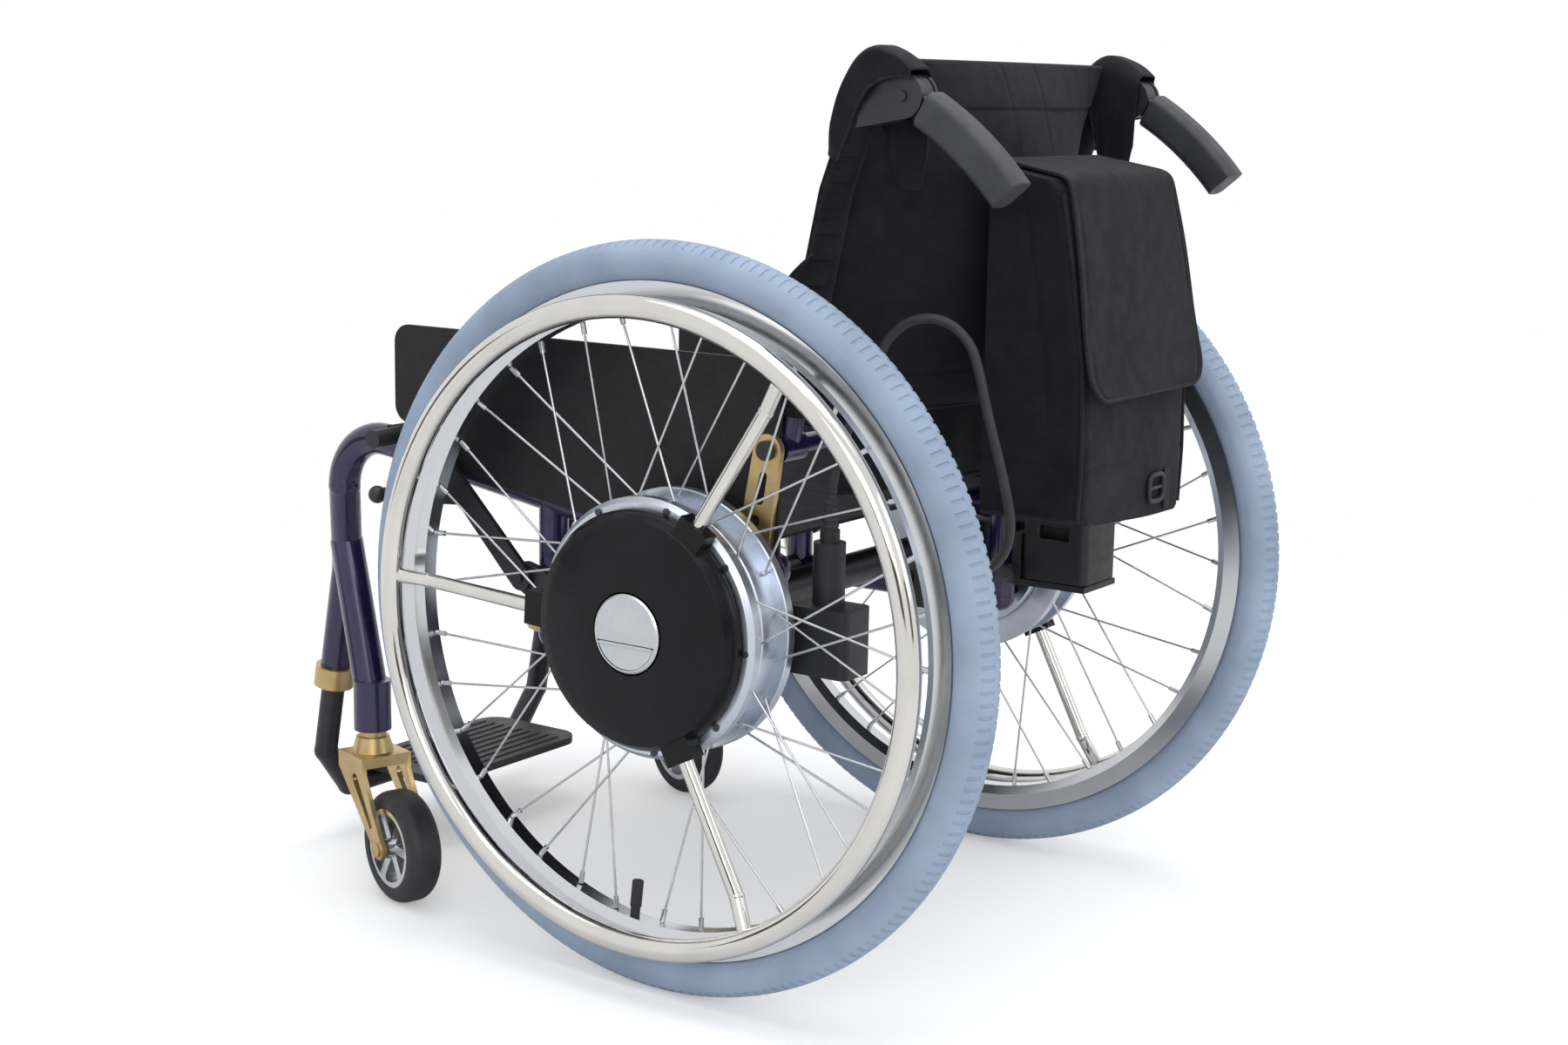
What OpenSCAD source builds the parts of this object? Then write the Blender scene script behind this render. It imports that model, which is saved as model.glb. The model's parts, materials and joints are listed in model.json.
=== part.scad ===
// Wheelchair with power-assist drive wheels.
// X points forward, Y to the sitter's left and Z up; the floor is z = 0. All lengths are millimetres.
// Heights are measured from the floor and fore-and-aft places from the rear axle line.

/* [Drive wheels] */
// Outside diameter over the tyre
wheel_d = 614; // [590:1:640]
// Width of the tyre
tyre_w = 37; // [32:0.5:42]
// Gap from the middle of a side frame to its wheel plane
wheel_gap = 67; // [63:1:90]
// Depth of the tyre hidden inside the rim
rim_lap = 5; // [3:0.5:7]
// Width of the rim across its flanges
rim_w = 24; // [21:0.5:28]
// Radial depth of the rim
rim_depth = 23; // [18:0.5:30]
// Thickness of each rim flange
rim_flange_t = 1.8; // [1.2:0.1:2.5]
// Number of spokes in each wheel
spoke_n = 36; // [28:4:40]
// Diameter of a spoke
spoke_d = 2; // [1.8:0.1:2.4]
// Diameter of a spoke nipple
nipple_d = 4.4; // [3.6:0.1:5]
// Direction of the tyre valve, in degrees up from straight ahead
valve_angle = -84; // [-88:1:-80]

/* [Hub motor] */
// Radius of the drum between the spoke flanges
drum_r = 98; // [95:0.5:100]
// Thickness of the drum wall
drum_wall = 6; // [4:0.5:8]
// Radius of the outer spoke flange
front_flange_r = 106; // [105:0.5:112]
// Radius of the inner spoke flange
rear_flange_r = 108; // [105:0.5:114]
// Face of the outer flange, from the wheel plane
hub_front = 26; // [24:0.5:29]
// Thickness of the outer end wall
front_wall = 12; // [11:0.5:13]
// Face of the inner flange, from the wheel plane
hub_rear = 30; // [28:0.5:33]
// Thickness of the inner end wall
rear_wall = 10; // [9:0.5:11]
// Radius of the fixed motor shaft
shaft_r = 10; // [8:0.5:12]
// Radius of the quick-release axle pin
axle_pin_r = 6.35; // [5:0.05:7]
// Number of magnets round the drum
magnet_n = 16; // [12:2:24]
// Thickness of a magnet
magnet_t = 5.4; // [4:0.2:6]
// Air gap between magnets and stator
air_gap = 1; // [0.6:0.1:1.6]
// Number of stator slots
slot_n = 18; // [12:3:24]
// Radius of the fixed plate behind the motor
plate_r = 86; // [80:1:90]
// Thickness of the fixed plate
plate_t = 8.4; // [6:0.2:10]

/* [Push rim] */
// Radius of the push rim to the middle of its tube
handrim_r = 257; // [250:1:262]
// Diameter of the push rim tube
handrim_d = 19; // [16:0.5:22]
// Push rim plane, outward from the wheel plane
handrim_out = 42; // [40:0.5:48]
// Diameter of the three struts
strut_d = 12; // [10:0.5:13]
// Direction of the first strut, in degrees up from straight ahead
strut_angle = 3; // [-10:1:20]
// Radius of the black hub cover
cover_r = 97; // [94:0.5:98]
// Radius of the flat face of the cover
cover_face_r = 80; // [74:1:84]
// Face of the cover, outward from the wheel plane
cover_front = 47; // [45:0.5:50]
// Width of a strut lug
lug_w = 28; // [22:1:32]
// Radius of the release knob
knob_r = 32; // [28:0.5:34]

/* [Frame] */
// Half the distance between the two side frames
frame_half = 190; // [170:1:225]
// Diameter of the main frame tube
tube_d = 28.6; // [25:0.2:28.6]
// Diameter of the lower rail
lower_d = 25.4; // [22:0.2:28]
// Rise of the seat rail over the axle line, at the front post
rail_rise = 76; // [70:1:93]
// Slope of the seat rail, in degrees up towards the front
rail_slope = 8.5; // [5:0.5:10]
// Front post, forward of the axle
post_x = 170; // [150:1:190]
// Rear end of the seat rail, behind the axle
rail_back = 60; // [55:1:70]
// Front of the frame, forward of the axle
front_x = 420; // [410:1:430]
// Radius of the front bend
bend_r = 48; // [40:1:55]
// Drop of the lower rail below the axle
lower_drop = 45; // [40:1:60]
// Radius of the axle tube
axle_tube_r = 15; // [12:0.5:17]

/* [Castors] */
// Castor wheel diameter
castor_d = 102; // [90:1:110]
// Castor wheel width
castor_w = 32; // [26:1:36]
// Castor stem, forward of the axle
castor_x = 365; // [355:1:375]
// Castor stem, out from the middle
castor_y = 214; // [210:1:220]
// Trail of the castor wheel behind its stem
castor_trail = 54; // [48:1:56]
// Direction the castors have swung to, in degrees from straight back
castor_turn = 18; // [0:1:45]
// Castor stem radius
stem_r = 6.35; // [5:0.05:8]

/* [Seat and back] */
// Backrest pivot, behind the axle
back_x = 70; // [66:1:78]
// Rise of the backrest pivot over the seat rail's height at the front post
back_rise = 67; // [57:1:77]
// Diameter of the back canes
cane_d = 22; // [19:0.5:25]
// Height of the bend in the back canes above the pivot
cane_low_h = 205; // [190:1:220]
// Lean of the canes below the bend, in degrees
cane_low_lean = 12; // [9:0.5:14]
// Height of the cane tops above the bend
cane_top_h = 100; // [90:1:120]
// Lean of the canes above the bend, in degrees
cane_top_lean = 20; // [16:0.5:24]
// Deepest sag of the back upholstery
back_sag = 90; // [60:1:94]
// Thickness of the back padding
back_pad = 11; // [8:0.5:14]
// Thickness of the seat sling
sling_t = 3; // [2:0.2:5]
// Rise of the top of the side guards over the seat rail's height at the front post
guard_rise = 138; // [117:1:157]
// Thickness of a side guard
guard_t = 4; // [3:0.2:5]
// Length of a push handle grip
grip_len = 96; // [90:1:120]
// Width of a push handle grip
grip_w = 26; // [22:1:27]
// Height of a push handle grip section
grip_h = 30; // [28:1:38]

/* [Bag] */
// Half the width of the bag
bag_half = 95; // [80:1:105]
// Height of the bag
bag_h = 285; // [250:1:300]
// Depth of the bag at its top
bag_top_depth = 66; // [55:1:80]
// Depth of the bag at its base
bag_base_depth = 94; // [85:1:105]
// Drop of the flap down the back of the bag
flap_drop = 165; // [120:1:200]

/* [Battery] */
// Battery length, fore and aft
battery_x = 66; // [56:1:90]
// Battery width
battery_y = 62; // [50:1:66]
// Battery height
battery_z = 62; // [50:1:110]

/* [Footrest] */
// Top of the footplate
foot_z = 72; // [66:1:90]
// Footplate length, fore and aft
foot_len = 122; // [100:1:126]
// Half the footplate width
foot_half = 105; // [90:1:106]
// Footrest tube diameter
foot_tube_d = 22; // [19:0.2:22]

/* [Hidden] */
$fn = 64;
wheel_r = wheel_d / 2;
track = 2 * (frame_half + wheel_gap);
wheel_y = track / 2;
rail_z = wheel_r + rail_rise;
back_z = rail_z + back_rise;
guard_top = rail_z + guard_rise;
run_gap = 0.05;
fit_gap = 0.1;
seat_gap = 0.2;
body_gap = 0.4;
// A bent or welded corner is a ball that stands a little proud of its tubes, which end short of its middle
corner_swell = 0.4;
corner_trim = 2;
// The front bend is a little fuller than the straight tube that runs into it
bend_swell = 0.15;

// Frame places worked out from the driving sizes
tube_r = tube_d / 2;
lower_r = lower_d / 2;
lower_z = wheel_r - lower_drop;
function rail_at(x) = rail_z + (x - post_x) * tan(rail_slope);
bend_x = front_x - bend_r;
bend_z = rail_at(bend_x - bend_r * sin(rail_slope)) - bend_r * cos(rail_slope);
bend_end = [front_x, frame_half, bend_z];
neck_in = 34;
neck_drop = 85;
knee = bend_end + [32, -neck_in, -neck_drop];
hanger_slope = 10;
hanger_dir = [sin(hanger_slope), 0, -cos(hanger_slope)];
hanger_len = 113;
hanger_end = knee + hanger_len * hanger_dir;
hanger_bore = 64;
guard_stand = 1.7;
guard_y = frame_half + tube_r + guard_stand;
bracket_y = guard_y + guard_t + seat_gap;
bracket_t = 6;
collar_len = 10.6;
clamp_out = wheel_y - hub_rear - plate_t - collar_len;

leg_r = tube_r + 1;
bracket_foot = [-rail_back + 4, rail_at(-rail_back + 4)];
bracket_arm = [8, rail_at(8)];
bracket_bolt_r = 4;
bracket_pivot_r = 5;
bracket_head_r = bracket_bolt_r + 2.5;

// Rim, spoke and valve places, from the axle
valve_r = 4;
valve_cap_r = 4.8;
valve_len = 30;
spoke_r = spoke_d / 2;
spoke_head_r = drum_r + 3.6;
nipple_len = 10;
spoke_aim = 2.5;
spoke_seat = 0.7;

// Hub places, outward from the wheel plane
tyre_core_r = wheel_r - tyre_w / 2;
rim_out_r = tyre_core_r - tyre_w / 2 + rim_lap;
rim_in_r = rim_out_r - rim_depth;
rim_floor_r = tyre_core_r - tyre_w / 2 - seat_gap;
rim_bed_w = 14;
bead_half = rim_w / 2 - rim_flange_t - seat_gap;
front_in = hub_front - front_wall;
rear_in = hub_rear - rear_wall;
cavity_r = drum_r - drum_wall;
front_bearing_r = shaft_r + 11;
rear_bearing_bore_r = 40;
rear_bearing_r = 50;
boss_r = front_bearing_r + 5;
boss_end = hub_front + 12;
plate_face = hub_rear + 1.6;
plate_back = plate_face + plate_t;
collar_end = wheel_y - clamp_out - seat_gap;
axle_pin_in = 70;
shaft_end = hub_front + 10;
spigot_r = 6;
spigot_len = 7;
knob_back = cover_front - 5;
knob_front = cover_front + 2;
cup_r = knob_r + 1.5;
cover_wall = 3;
cover_skirt = hub_front + 1;
cup_floor = hub_front + 4;
strut_r = strut_d / 2;
lug_low = hub_front + 0.8;
strut_out = lug_low + strut_r + 1.4;
lug_high = strut_out + strut_r + 1.4;
lug_in_r = cover_r - 14;
lug_out_r = front_flange_r + 4;
strut_in_r = cover_r - 9;
strut_elbow_r = handrim_r - 35;
magnet_low = -rear_in + 6;
magnet_high = front_in - 6;
coil_t = 3;
screw_n = 9;
screw_r = 2.8;
plate_bolt_n = 6;
plate_bolt_first = 35;
plate_bolt_r = 3.5;
plate_bolt_at = plate_r - 12;
sunk_depth = 3;
grip_hinge_z = -9.6;
grip_hinge_y = knob_front - 1.7;
grip_pin_r = 1;

// Backrest places
cane_r = cane_d / 2;
pivot = [-back_x, 0, back_z];
cane_bend = pivot + [-cane_low_h * tan(cane_low_lean), 0, cane_low_h];
cane_top = cane_bend + [-cane_top_h * tan(cane_top_lean), 0, cane_top_h];
function cane_x(z) = z < cane_bend[2]
    ? pivot[0] - (z - back_z) * tan(cane_low_lean)
    : cane_bend[0] - (z - cane_bend[2]) * tan(cane_top_lean);
sleeve_r = cane_r + 3.5;
sleeve_n = 20;
sleeve_stop = cane_r + 8.5;
pocket_len = 6;
pocket_cap = 3;
handle_z = cane_bend[2] + 66;
handle_arm = 40;
handle_pivot = [cane_x(handle_z) - handle_arm, 0, handle_z + 6];
grip_start_dip = 30;
grip_turn = 20;
grip_arc_r = grip_len / (grip_turn * PI / 180);
handle_pin_r = 4;
pad_low = back_z + 26;
pad_high = cane_top[2] - 2;
pad_across = 16;
pad_up = 14;
pad_half = frame_half - sleeve_r - seat_gap;
handle_half = 12;
handle_cheek = 3;
handle_boss_r = 17;
grip_from = handle_boss_r + 1.5;
neck_half = 8;
bag_gap = 0.3;
bag_rise = 21;
bag_top = cane_bend[2] + bag_rise;
bag_base = bag_top - bag_h;
bag_top_fall = 18;
bag_edge = 8;
// The bag bellies out to nearly its base depth at a height above its base
bag_belly_h = 129;
bag_belly_depth = bag_base_depth - 4;
flap_t = 3;

// The padding bulges furthest back where the bag hangs against it
function pad_z(v) = pad_low + v * (pad_high - pad_low);
function pad_sag(u, v) = (10 + (back_sag - 10) * sin(135 * (1 - v))) * (1 - u * u);
function pad_thick(u, v) = 4 + (back_pad - 4) * (1 - pow(u, 6)) * (1 - pow(2 * v - 1, 8));
function pad_point(u, v, face) =
    [cane_x(pad_z(v)) - pad_sag(u, v) + face * pad_thick(u, v) / 2, u * pad_half, pad_z(v)];
pad_rear = min([for (j = [0 : pad_up]) pad_point(0, j / pad_up, -1)[0]]);
bag_front = pad_rear - bag_gap;
flap_gap = 0.35;
flap_hinge = [bag_front - flap_gap, 0, bag_top + flap_t + 2 * flap_gap];

// Castor and footrest places
castor_r = castor_d / 2;
fork_gap = 4;
fork_t = 5;
fork_toe = 20;
fork_heel = -26;
fork_leg = 7.5;
fork_eye_r = 9;
fork_rub = 0.4;
window_r = 3;
window_low = 24;
window_top = 14;
crown_t = 10;
crown_r = 19;
fork_crown_z = castor_d + 16;
fork_top = fork_crown_z + 24;
barrel_low = fork_top + 6;
barrel_h = 46;
barrel_r = 17;
castor_bolt_r = 4;
bolt_head_r = castor_bolt_r + 2.5;
bolt_head_h = 3;
castor_hub_r = castor_r - 15;
foot_tube_r = foot_tube_d / 2;
foot_plate_t = 9;
foot_bar_z = foot_z - foot_plate_t - seat_gap - foot_tube_r;
foot_knee = hanger_end + (hanger_end[2] - foot_bar_z - 40) * hanger_dir;
foot_corner = [foot_knee[0] + 2, foot_knee[1] - 32, foot_bar_z];
foot_bar_x = foot_corner[0];
foot_lip = 4;
foot_front = foot_bar_x + foot_tube_r + foot_lip;

// Electrical places: the plug stands on the left housing and the battery slides down into the right cradle
housing_y = wheel_y - plate_back - seat_gap;
housing_x = -92;
tongue = [42, 6, 60];
tongue_low = wheel_r - 36;
housing = [57, 40, 55];
housing_lap = 1;
housing_low = wheel_r - 33;
plug_at = [housing_x - 24, housing_y - 24];
plug_r = 13;
plug_top = housing_low + housing[2] + 50;
gland_r = 8;
gland_len = 10;
battery_gap = 0.4;
battery_front = housing_x - 8;
battery_base = wheel_r - 16;
battery_in = housing_y - 2;
cradle_floor = 5.6;
cradle_h = 48;

// The lead hangs in a loop behind the backrest and ends at the battery cradle
lead_d = 8;
lead_steps = 3;
lead_plug = [plug_at[0], plug_at[1], plug_top + gland_len];
lead_dock = [battery_front + 10, 0, battery_base + 4];
dock_y = -(battery_in - battery_y - gland_r);
lead_route = [
    lead_plug, lead_plug + [0, 0, 23], [-119, 190, 440], [-126, 186, 468], [-136, 180, 496],
    [-144, 175, 519], [-151, 171, 539], [-165, 168, 553], [-184, 164, 558.5], [-203, 160, 553.5],
    [-217.5, 157, 539], [-225, 155, 518], [-232, 153, 489], [-240, 150, 458], [-246, 146, 430],
    [-247, 138, 404], [-237, 124, 379], [-215, 104, 359], [-187, 82, 344], [-157, 56, 332],
    [-130, 24, 322], [-109, -14, 313], [-97, -54, 305], [lead_dock[0] - 1, dock_y + 46, lead_dock[2] + 4],
    [lead_dock[0], dock_y, lead_dock[2]]
];

// Wheel lock places
lock_pivot = [post_x + 16, 0, lower_z + 51];
shoe_r = 8;
shoe_gap = 9;
shoe_angle = 22;
shoe_reach = wheel_r + shoe_gap + shoe_r;
shoe = [shoe_reach * cos(shoe_angle), 0, wheel_r + shoe_reach * sin(shoe_angle)];
lock_y = guard_y + guard_t + 2;
lock_t = 5;
lock_knob = [front_x - 67, 0, wheel_r + 60];
lock_pin_r = 4;

// The rear axle line sits behind the middle of the object, so that the middle stands on the origin
front_reach = foot_front;
back_reach = max(wheel_r, -bag_front + bag_base_depth + flap_t);
axle_x = (back_reach - front_reach) / 2;

// Shared shapes

function unit(v) = v / norm(v);

// Moves the chair so that the rear axle line is at its place
module chair() {
    translate([axle_x, 0, 0]) children();
}

// One side of the chair: 1 is the left, -1 the right
module side(s) {
    if (s > 0) {
        children();
    } else {
        mirror([0, 1, 0]) children();
    }
}

// Both sides of the chair
module both_sides() {
    for (s = [1, -1]) side(s) children();
}

// A drive wheel's own frame: its axle points outward along +Y
module wheel_at(s) {
    chair() side(s) translate([0, wheel_y, wheel_r]) children();
}

// Turns by an angle measured from straight ahead up towards +Z
module spin(a) {
    rotate([0, -a, 0]) children();
}

// A profile of radius and outward place, turned about the axle
module turned() {
    rotate([-90, 0, 0]) rotate_extrude($fn = 96) children();
}

// A round bar from one point to another
module rod(a, b, r) {
    d = b - a;
    translate(a)
        rotate([0, acos(d[2] / norm(d)), atan2(d[1], d[0])])
            cylinder(h = norm(d), r = r);
}

// Round bars through a list of points, with ball corners
module bent_rod(points, r) {
    last = len(points) - 1;
    for (i = [0 : last - 1]) {
        along = corner_trim * unit(points[i + 1] - points[i]);
        from = i == 0 ? points[i] : points[i] + along;
        to = i == last - 1 ? points[i + 1] : points[i + 1] - along;
        rod(from, to, r);
    }
    for (i = [1 : 1 : last - 1]) translate(points[i]) sphere(r = r + corner_swell);
}

// A cylinder along +Y that starts at a point
module pin_y(p, r, h) {
    translate(p) rotate([-90, 0, 0]) cylinder(h = h, r = r);
}

// A plate outline in X and Z, given its thickness along +Y
module plate_y(y, t) {
    translate([0, y + t, 0]) rotate([90, 0, 0]) linear_extrude(height = t) children();
}

// A flat bar with round ends of two radii, its sides tangent to both ends
module bar_2d(a, ra, b, rb) {
    d = b - a;
    lean = atan2(d[1], d[0]);
    open = acos((ra - rb) / norm(d));
    translate(a) circle(r = ra);
    translate(b) circle(r = rb);
    polygon([
        a + ra * [cos(lean + open), sin(lean + open)],
        b + rb * [cos(lean + open), sin(lean + open)],
        b + rb * [cos(lean - open), sin(lean - open)],
        a + ra * [cos(lean - open), sin(lean - open)]
    ]);
}

// A rectangle with round corners, from its low corner
module round_rect(size, r) {
    translate([r, 0]) square([size[0] - 2 * r, size[1]]);
    translate([0, r]) square([size[0], size[1] - 2 * r]);
    for (x = [r, size[0] - r], y = [r, size[1] - r]) translate([x, y]) circle(r = r);
}

// X and Z of a point
function flat(p) = [p[0], p[2]];

// Drive wheels

module tyre(s) {
    color([0.55, 0.6, 0.69]) wheel_at(s) turned() difference() {
        translate([tyre_core_r, 0]) circle(r = tyre_w / 2);
        for (m = [0, 1]) mirror([0, m])
            translate([rim_floor_r - tyre_w, bead_half]) square([tyre_w + rim_lap + 1, tyre_w]);
    }
}

module rim(s) {
    h = rim_w / 2;
    inner = h - rim_flange_t;
    shoulder = rim_in_r + rim_depth / 3;
    color([0.78, 0.79, 0.8]) wheel_at(s) difference() {
        turned() polygon([
            [rim_in_r, -rim_bed_w / 2], [rim_in_r, rim_bed_w / 2], [shoulder, h], [rim_out_r, h],
            [rim_out_r, inner], [rim_floor_r, inner], [rim_floor_r, -inner], [rim_out_r, -inner],
            [rim_out_r, -h], [shoulder, -h]
        ]);
        spin(valve_angle) rod([rim_in_r - 5, 0, 0], [rim_floor_r + 1, 0, 0], valve_r + fit_gap);
    }
}

module valve(s) {
    cap_end = rim_in_r - 8;
    color([0.06, 0.06, 0.07]) wheel_at(s) spin(valve_angle) {
        rod([cap_end, 0, 0], [rim_floor_r - seat_gap, 0, 0], valve_r);
        rod([rim_in_r - valve_len, 0, 0], [cap_end, 0, 0], valve_cap_r);
    }
}

// Spokes leave both flanges in crossing pairs, each with a bent head and a nipple at the rim
module spoke(flange, near, lead) {
    step = 720 / spoke_n;
    y0 = near - flange * (lead > 0 ? 1.6 : 5.2);
    head = [spoke_head_r, y0, 0];
    r1 = rim_in_r - spoke_seat;
    end = [r1 * cos(lead * step), flange * spoke_aim, r1 * sin(lead * step)];
    along = (end - head) / norm(end - head);
    rod(head, end - along, spoke_r);
    rod(end - nipple_len * along, end, nipple_d / 2);
    rod([spoke_head_r, near, 0], [spoke_head_r, y0 - flange * spoke_r, 0], spoke_r);
}

module spokes(s) {
    step = 720 / spoke_n;
    color([0.72, 0.73, 0.74]) wheel_at(s) for (k = [0 : spoke_n / 2 - 1]) {
        lead = k % 2 == 0 ? 1 : -1;
        spin(k * step) spoke(1, front_in, lead);
        spin((k + 0.5) * step) spoke(-1, -rear_in, lead);
    }
}

// Hub motors

module hub_shell(s) {
    lip = 2;
    color([0.8, 0.81, 0.82]) wheel_at(s) turned() polygon([
        [front_bearing_r, front_in], [front_bearing_r, boss_end], [boss_r, boss_end], [boss_r, hub_front],
        [front_flange_r - 2 * lip, hub_front], [front_flange_r, hub_front - 2 * lip],
        [front_flange_r, front_in], [drum_r, front_in], [drum_r, 2], [drum_r + lip / 2, 1],
        [drum_r + lip / 2, -5], [drum_r, -6], [drum_r, -rear_in], [rear_flange_r - 1, -rear_in],
        [rear_flange_r, -rear_in - 1], [rear_flange_r, -hub_rear + 1], [rear_flange_r - 1, -hub_rear],
        [rear_bearing_r, -hub_rear], [rear_bearing_r, -rear_in], [cavity_r, -rear_in], [cavity_r, front_in]
    ]);
}

module magnets(s) {
    pitch = 360 / magnet_n;
    slit = 2;
    color([0.35, 0.36, 0.38]) wheel_at(s) for (k = [0 : magnet_n - 1]) rotate([-90, 0, 0])
        rotate([0, 0, k * pitch]) rotate_extrude(angle = pitch - slit)
            translate([cavity_r - fit_gap - magnet_t, magnet_low])
                square([magnet_t, magnet_high - magnet_low]);
}

// A bearing ring with a shallow groove in each face between its two races
module bearing_2d(bore, outer, low, high) {
    groove = 0.8;
    third = (outer - bore) / 3;
    difference() {
        translate([bore, low]) square([outer - bore, high - low]);
        translate([bore + third, high - groove]) square([third, 2 * groove]);
        translate([bore + third, low - groove]) square([third, 2 * groove]);
    }
}

module bearings(s) {
    color([0.62, 0.63, 0.65]) wheel_at(s) turned() {
        bearing_2d(shaft_r + run_gap, front_bearing_r - run_gap, front_in, hub_front);
        bearing_2d(rear_bearing_bore_r + run_gap, rear_bearing_r - run_gap, -hub_rear, -rear_in);
    }
}

module hub_screws(s) {
    ring_r = (cover_r + front_flange_r - 4) / 2 + 0.6;
    first = strut_angle + 180 / screw_n;
    color([0.3, 0.3, 0.32]) wheel_at(s) for (k = [0 : screw_n - 1]) spin(first + k * 360 / screw_n)
        pin_y([ring_r, hub_front, 0], screw_r, 1.6);
}

module motor_plate(s) {
    color([0.72, 0.73, 0.75]) wheel_at(s) difference() {
        turned() polygon([
            [shaft_r + run_gap, -plate_back], [plate_r - 1.5, -plate_back], [plate_r, -plate_back + 1.5],
            [plate_r, -plate_face], [rear_bearing_bore_r, -plate_face], [rear_bearing_bore_r, -rear_in + 2],
            [shaft_r + run_gap, -rear_in + 2]
        ]);
        plate_bolts(plate_bolt_r + fit_gap, -plate_back - 1, sunk_depth + 1);
    }
}

// The ring of sunk bolts in the fixed plate, or their pockets
module plate_bolts(r, y, h) {
    for (k = [0 : plate_bolt_n - 1]) spin(plate_bolt_first + k * 360 / plate_bolt_n)
        pin_y([plate_bolt_at, y, 0], r, h);
}

module stator(s) {
    rim_of = cavity_r - fit_gap - magnet_t - air_gap;
    slot_w = 7;
    slot_in = 58;
    low = magnet_low;
    high = magnet_high;
    color([0.72, 0.4, 0.2]) wheel_at(s) difference() {
        union() {
            turned() polygon([
                [shaft_r + run_gap, -rear_in + 2], [rear_bearing_bore_r - 2, -rear_in + 2],
                [rear_bearing_bore_r - 2, low], [rim_of, low], [rim_of, high],
                [shaft_r + run_gap, high]
            ]);
            turned() for (y = [low - coil_t, high]) translate([slot_in + 2, y])
                square([rim_of - slot_in - 6, coil_t]);
        }
        for (k = [0 : slot_n - 1]) spin(k * 360 / slot_n)
            translate([rim_of - 3, low - 1, -slot_w / 4]) cube([9, high - low + 2, slot_w / 2]);
        for (k = [0 : slot_n - 1]) spin(k * 360 / slot_n)
            translate([slot_in, low - coil_t - 1, -slot_w / 2])
                cube([rim_of - slot_in - 6, high - low + 2 * coil_t + 2, slot_w]);
    }
}

module axle(s) {
    color([0.66, 0.67, 0.69]) wheel_at(s) {
        pin_y([0, -plate_back, 0], shaft_r, plate_back + shaft_end);
        pin_y([0, shaft_end, 0], spigot_r, spigot_len);
        pin_y([0, -collar_end, 0], shaft_r + 4, collar_end - plate_back);
        pin_y([0, -collar_end - axle_pin_in, 0], axle_pin_r, axle_pin_in);
    }
}

// Push rims with the torque-sensing hub cover

// The rim with its three welded struts, which is its own mirror image about the first strut
module push_ring() {
    turned() translate([handrim_r, handrim_out]) circle(r = handrim_d / 2);
    for (k = [0 : 2]) spin(120 * k) bent_rod([
        [strut_in_r, strut_out, 0], [strut_elbow_r, strut_out, 0], [handrim_r, handrim_out, 0]
    ], strut_r);
}

module handrim(s) {
    color([0.8, 0.8, 0.82]) wheel_at(s) spin(strut_angle) {
        if (s > 0) {
            mirror([0, 0, 1]) push_ring();
        } else {
            push_ring();
        }
    }
}

module hub_cover(s) {
    round_at = (cover_r + cover_face_r) / 2 + 3;
    color([0.1, 0.1, 0.12]) wheel_at(s) difference() {
        union() {
            turned() polygon([
                [cup_r, cover_front], [cover_face_r, cover_front], [round_at, cover_front - 4],
                [cover_r, cover_front - 13], [cover_r, cover_skirt], [cover_r - cover_wall, cover_skirt],
                [cover_r - cover_wall, cover_front - 14], [round_at - cover_wall, cover_front - 7],
                [cover_face_r, cover_front - cover_wall], [cup_r + cover_wall, cover_front - cover_wall],
                [cup_r + cover_wall, cup_floor], [boss_r + run_gap, cup_floor],
                [boss_r + run_gap, cup_floor + 4], [cup_r, cup_floor + 4]
            ]);
            for (k = [0 : 2]) spin(strut_angle + 120 * k)
                translate([lug_in_r, lug_low, -lug_w / 2])
                    cube([lug_out_r - lug_in_r, lug_high - lug_low, lug_w]);
        }
        for (k = [0 : 2]) spin(strut_angle + 120 * k)
            rod([strut_in_r - 1, strut_out, 0], [lug_out_r + 1, strut_out, 0], strut_r + fit_gap);
    }
}

module release_knob(s) {
    pocket_r = knob_r - 2.8;
    pocket_floor = grip_hinge_y - 2.3;
    color([0.75, 0.77, 0.8]) wheel_at(s) {
        difference() {
            turned() polygon([
                [spigot_r + run_gap, shaft_end + seat_gap], [shaft_r + 3, shaft_end + seat_gap],
                [shaft_r + 3, knob_back], [knob_r, knob_back], [knob_r, knob_front - 1.5],
                [knob_r - 1.5, knob_front], [0, knob_front], [0, shaft_end + spigot_len + seat_gap],
                [spigot_r + run_gap, shaft_end + spigot_len + seat_gap]
            ]);
            intersection() {
                pin_y([0, pocket_floor, 0], pocket_r, knob_front);
                translate([-knob_r, 0, grip_hinge_z + 2.4 - 2 * knob_r])
                    cube([2 * knob_r, 2 * knob_front, 2 * knob_r]);
            }
        }
        pin_half = sqrt(pow(pocket_r, 2) - pow(grip_hinge_z, 2)) + 1.5;
        rod([-pin_half, grip_hinge_y, grip_hinge_z], [pin_half, grip_hinge_y, grip_hinge_z], grip_pin_r);
    }
}

module release_grip(s) {
    leaf_r = knob_r - 3.4;
    barrel = grip_pin_r + 0.9;
    barrel_half = sqrt(pow(leaf_r, 2) - pow(grip_hinge_z, 2)) - 1.5;
    color([0.8, 0.82, 0.85]) wheel_at(s) difference() {
        union() {
            intersection() {
                pin_y([0, grip_hinge_y - 1.2, 0], leaf_r, 2.4);
                translate([-leaf_r, 0, grip_hinge_z - 2 * leaf_r]) cube([2 * leaf_r, 99, 2 * leaf_r]);
            }
            rod([-barrel_half, grip_hinge_y, grip_hinge_z], [barrel_half, grip_hinge_y, grip_hinge_z],
                barrel);
        }
        rod([-knob_r, grip_hinge_y, grip_hinge_z], [knob_r, grip_hinge_y, grip_hinge_z],
            grip_pin_r + run_gap);
    }
}

// Frame

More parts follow.
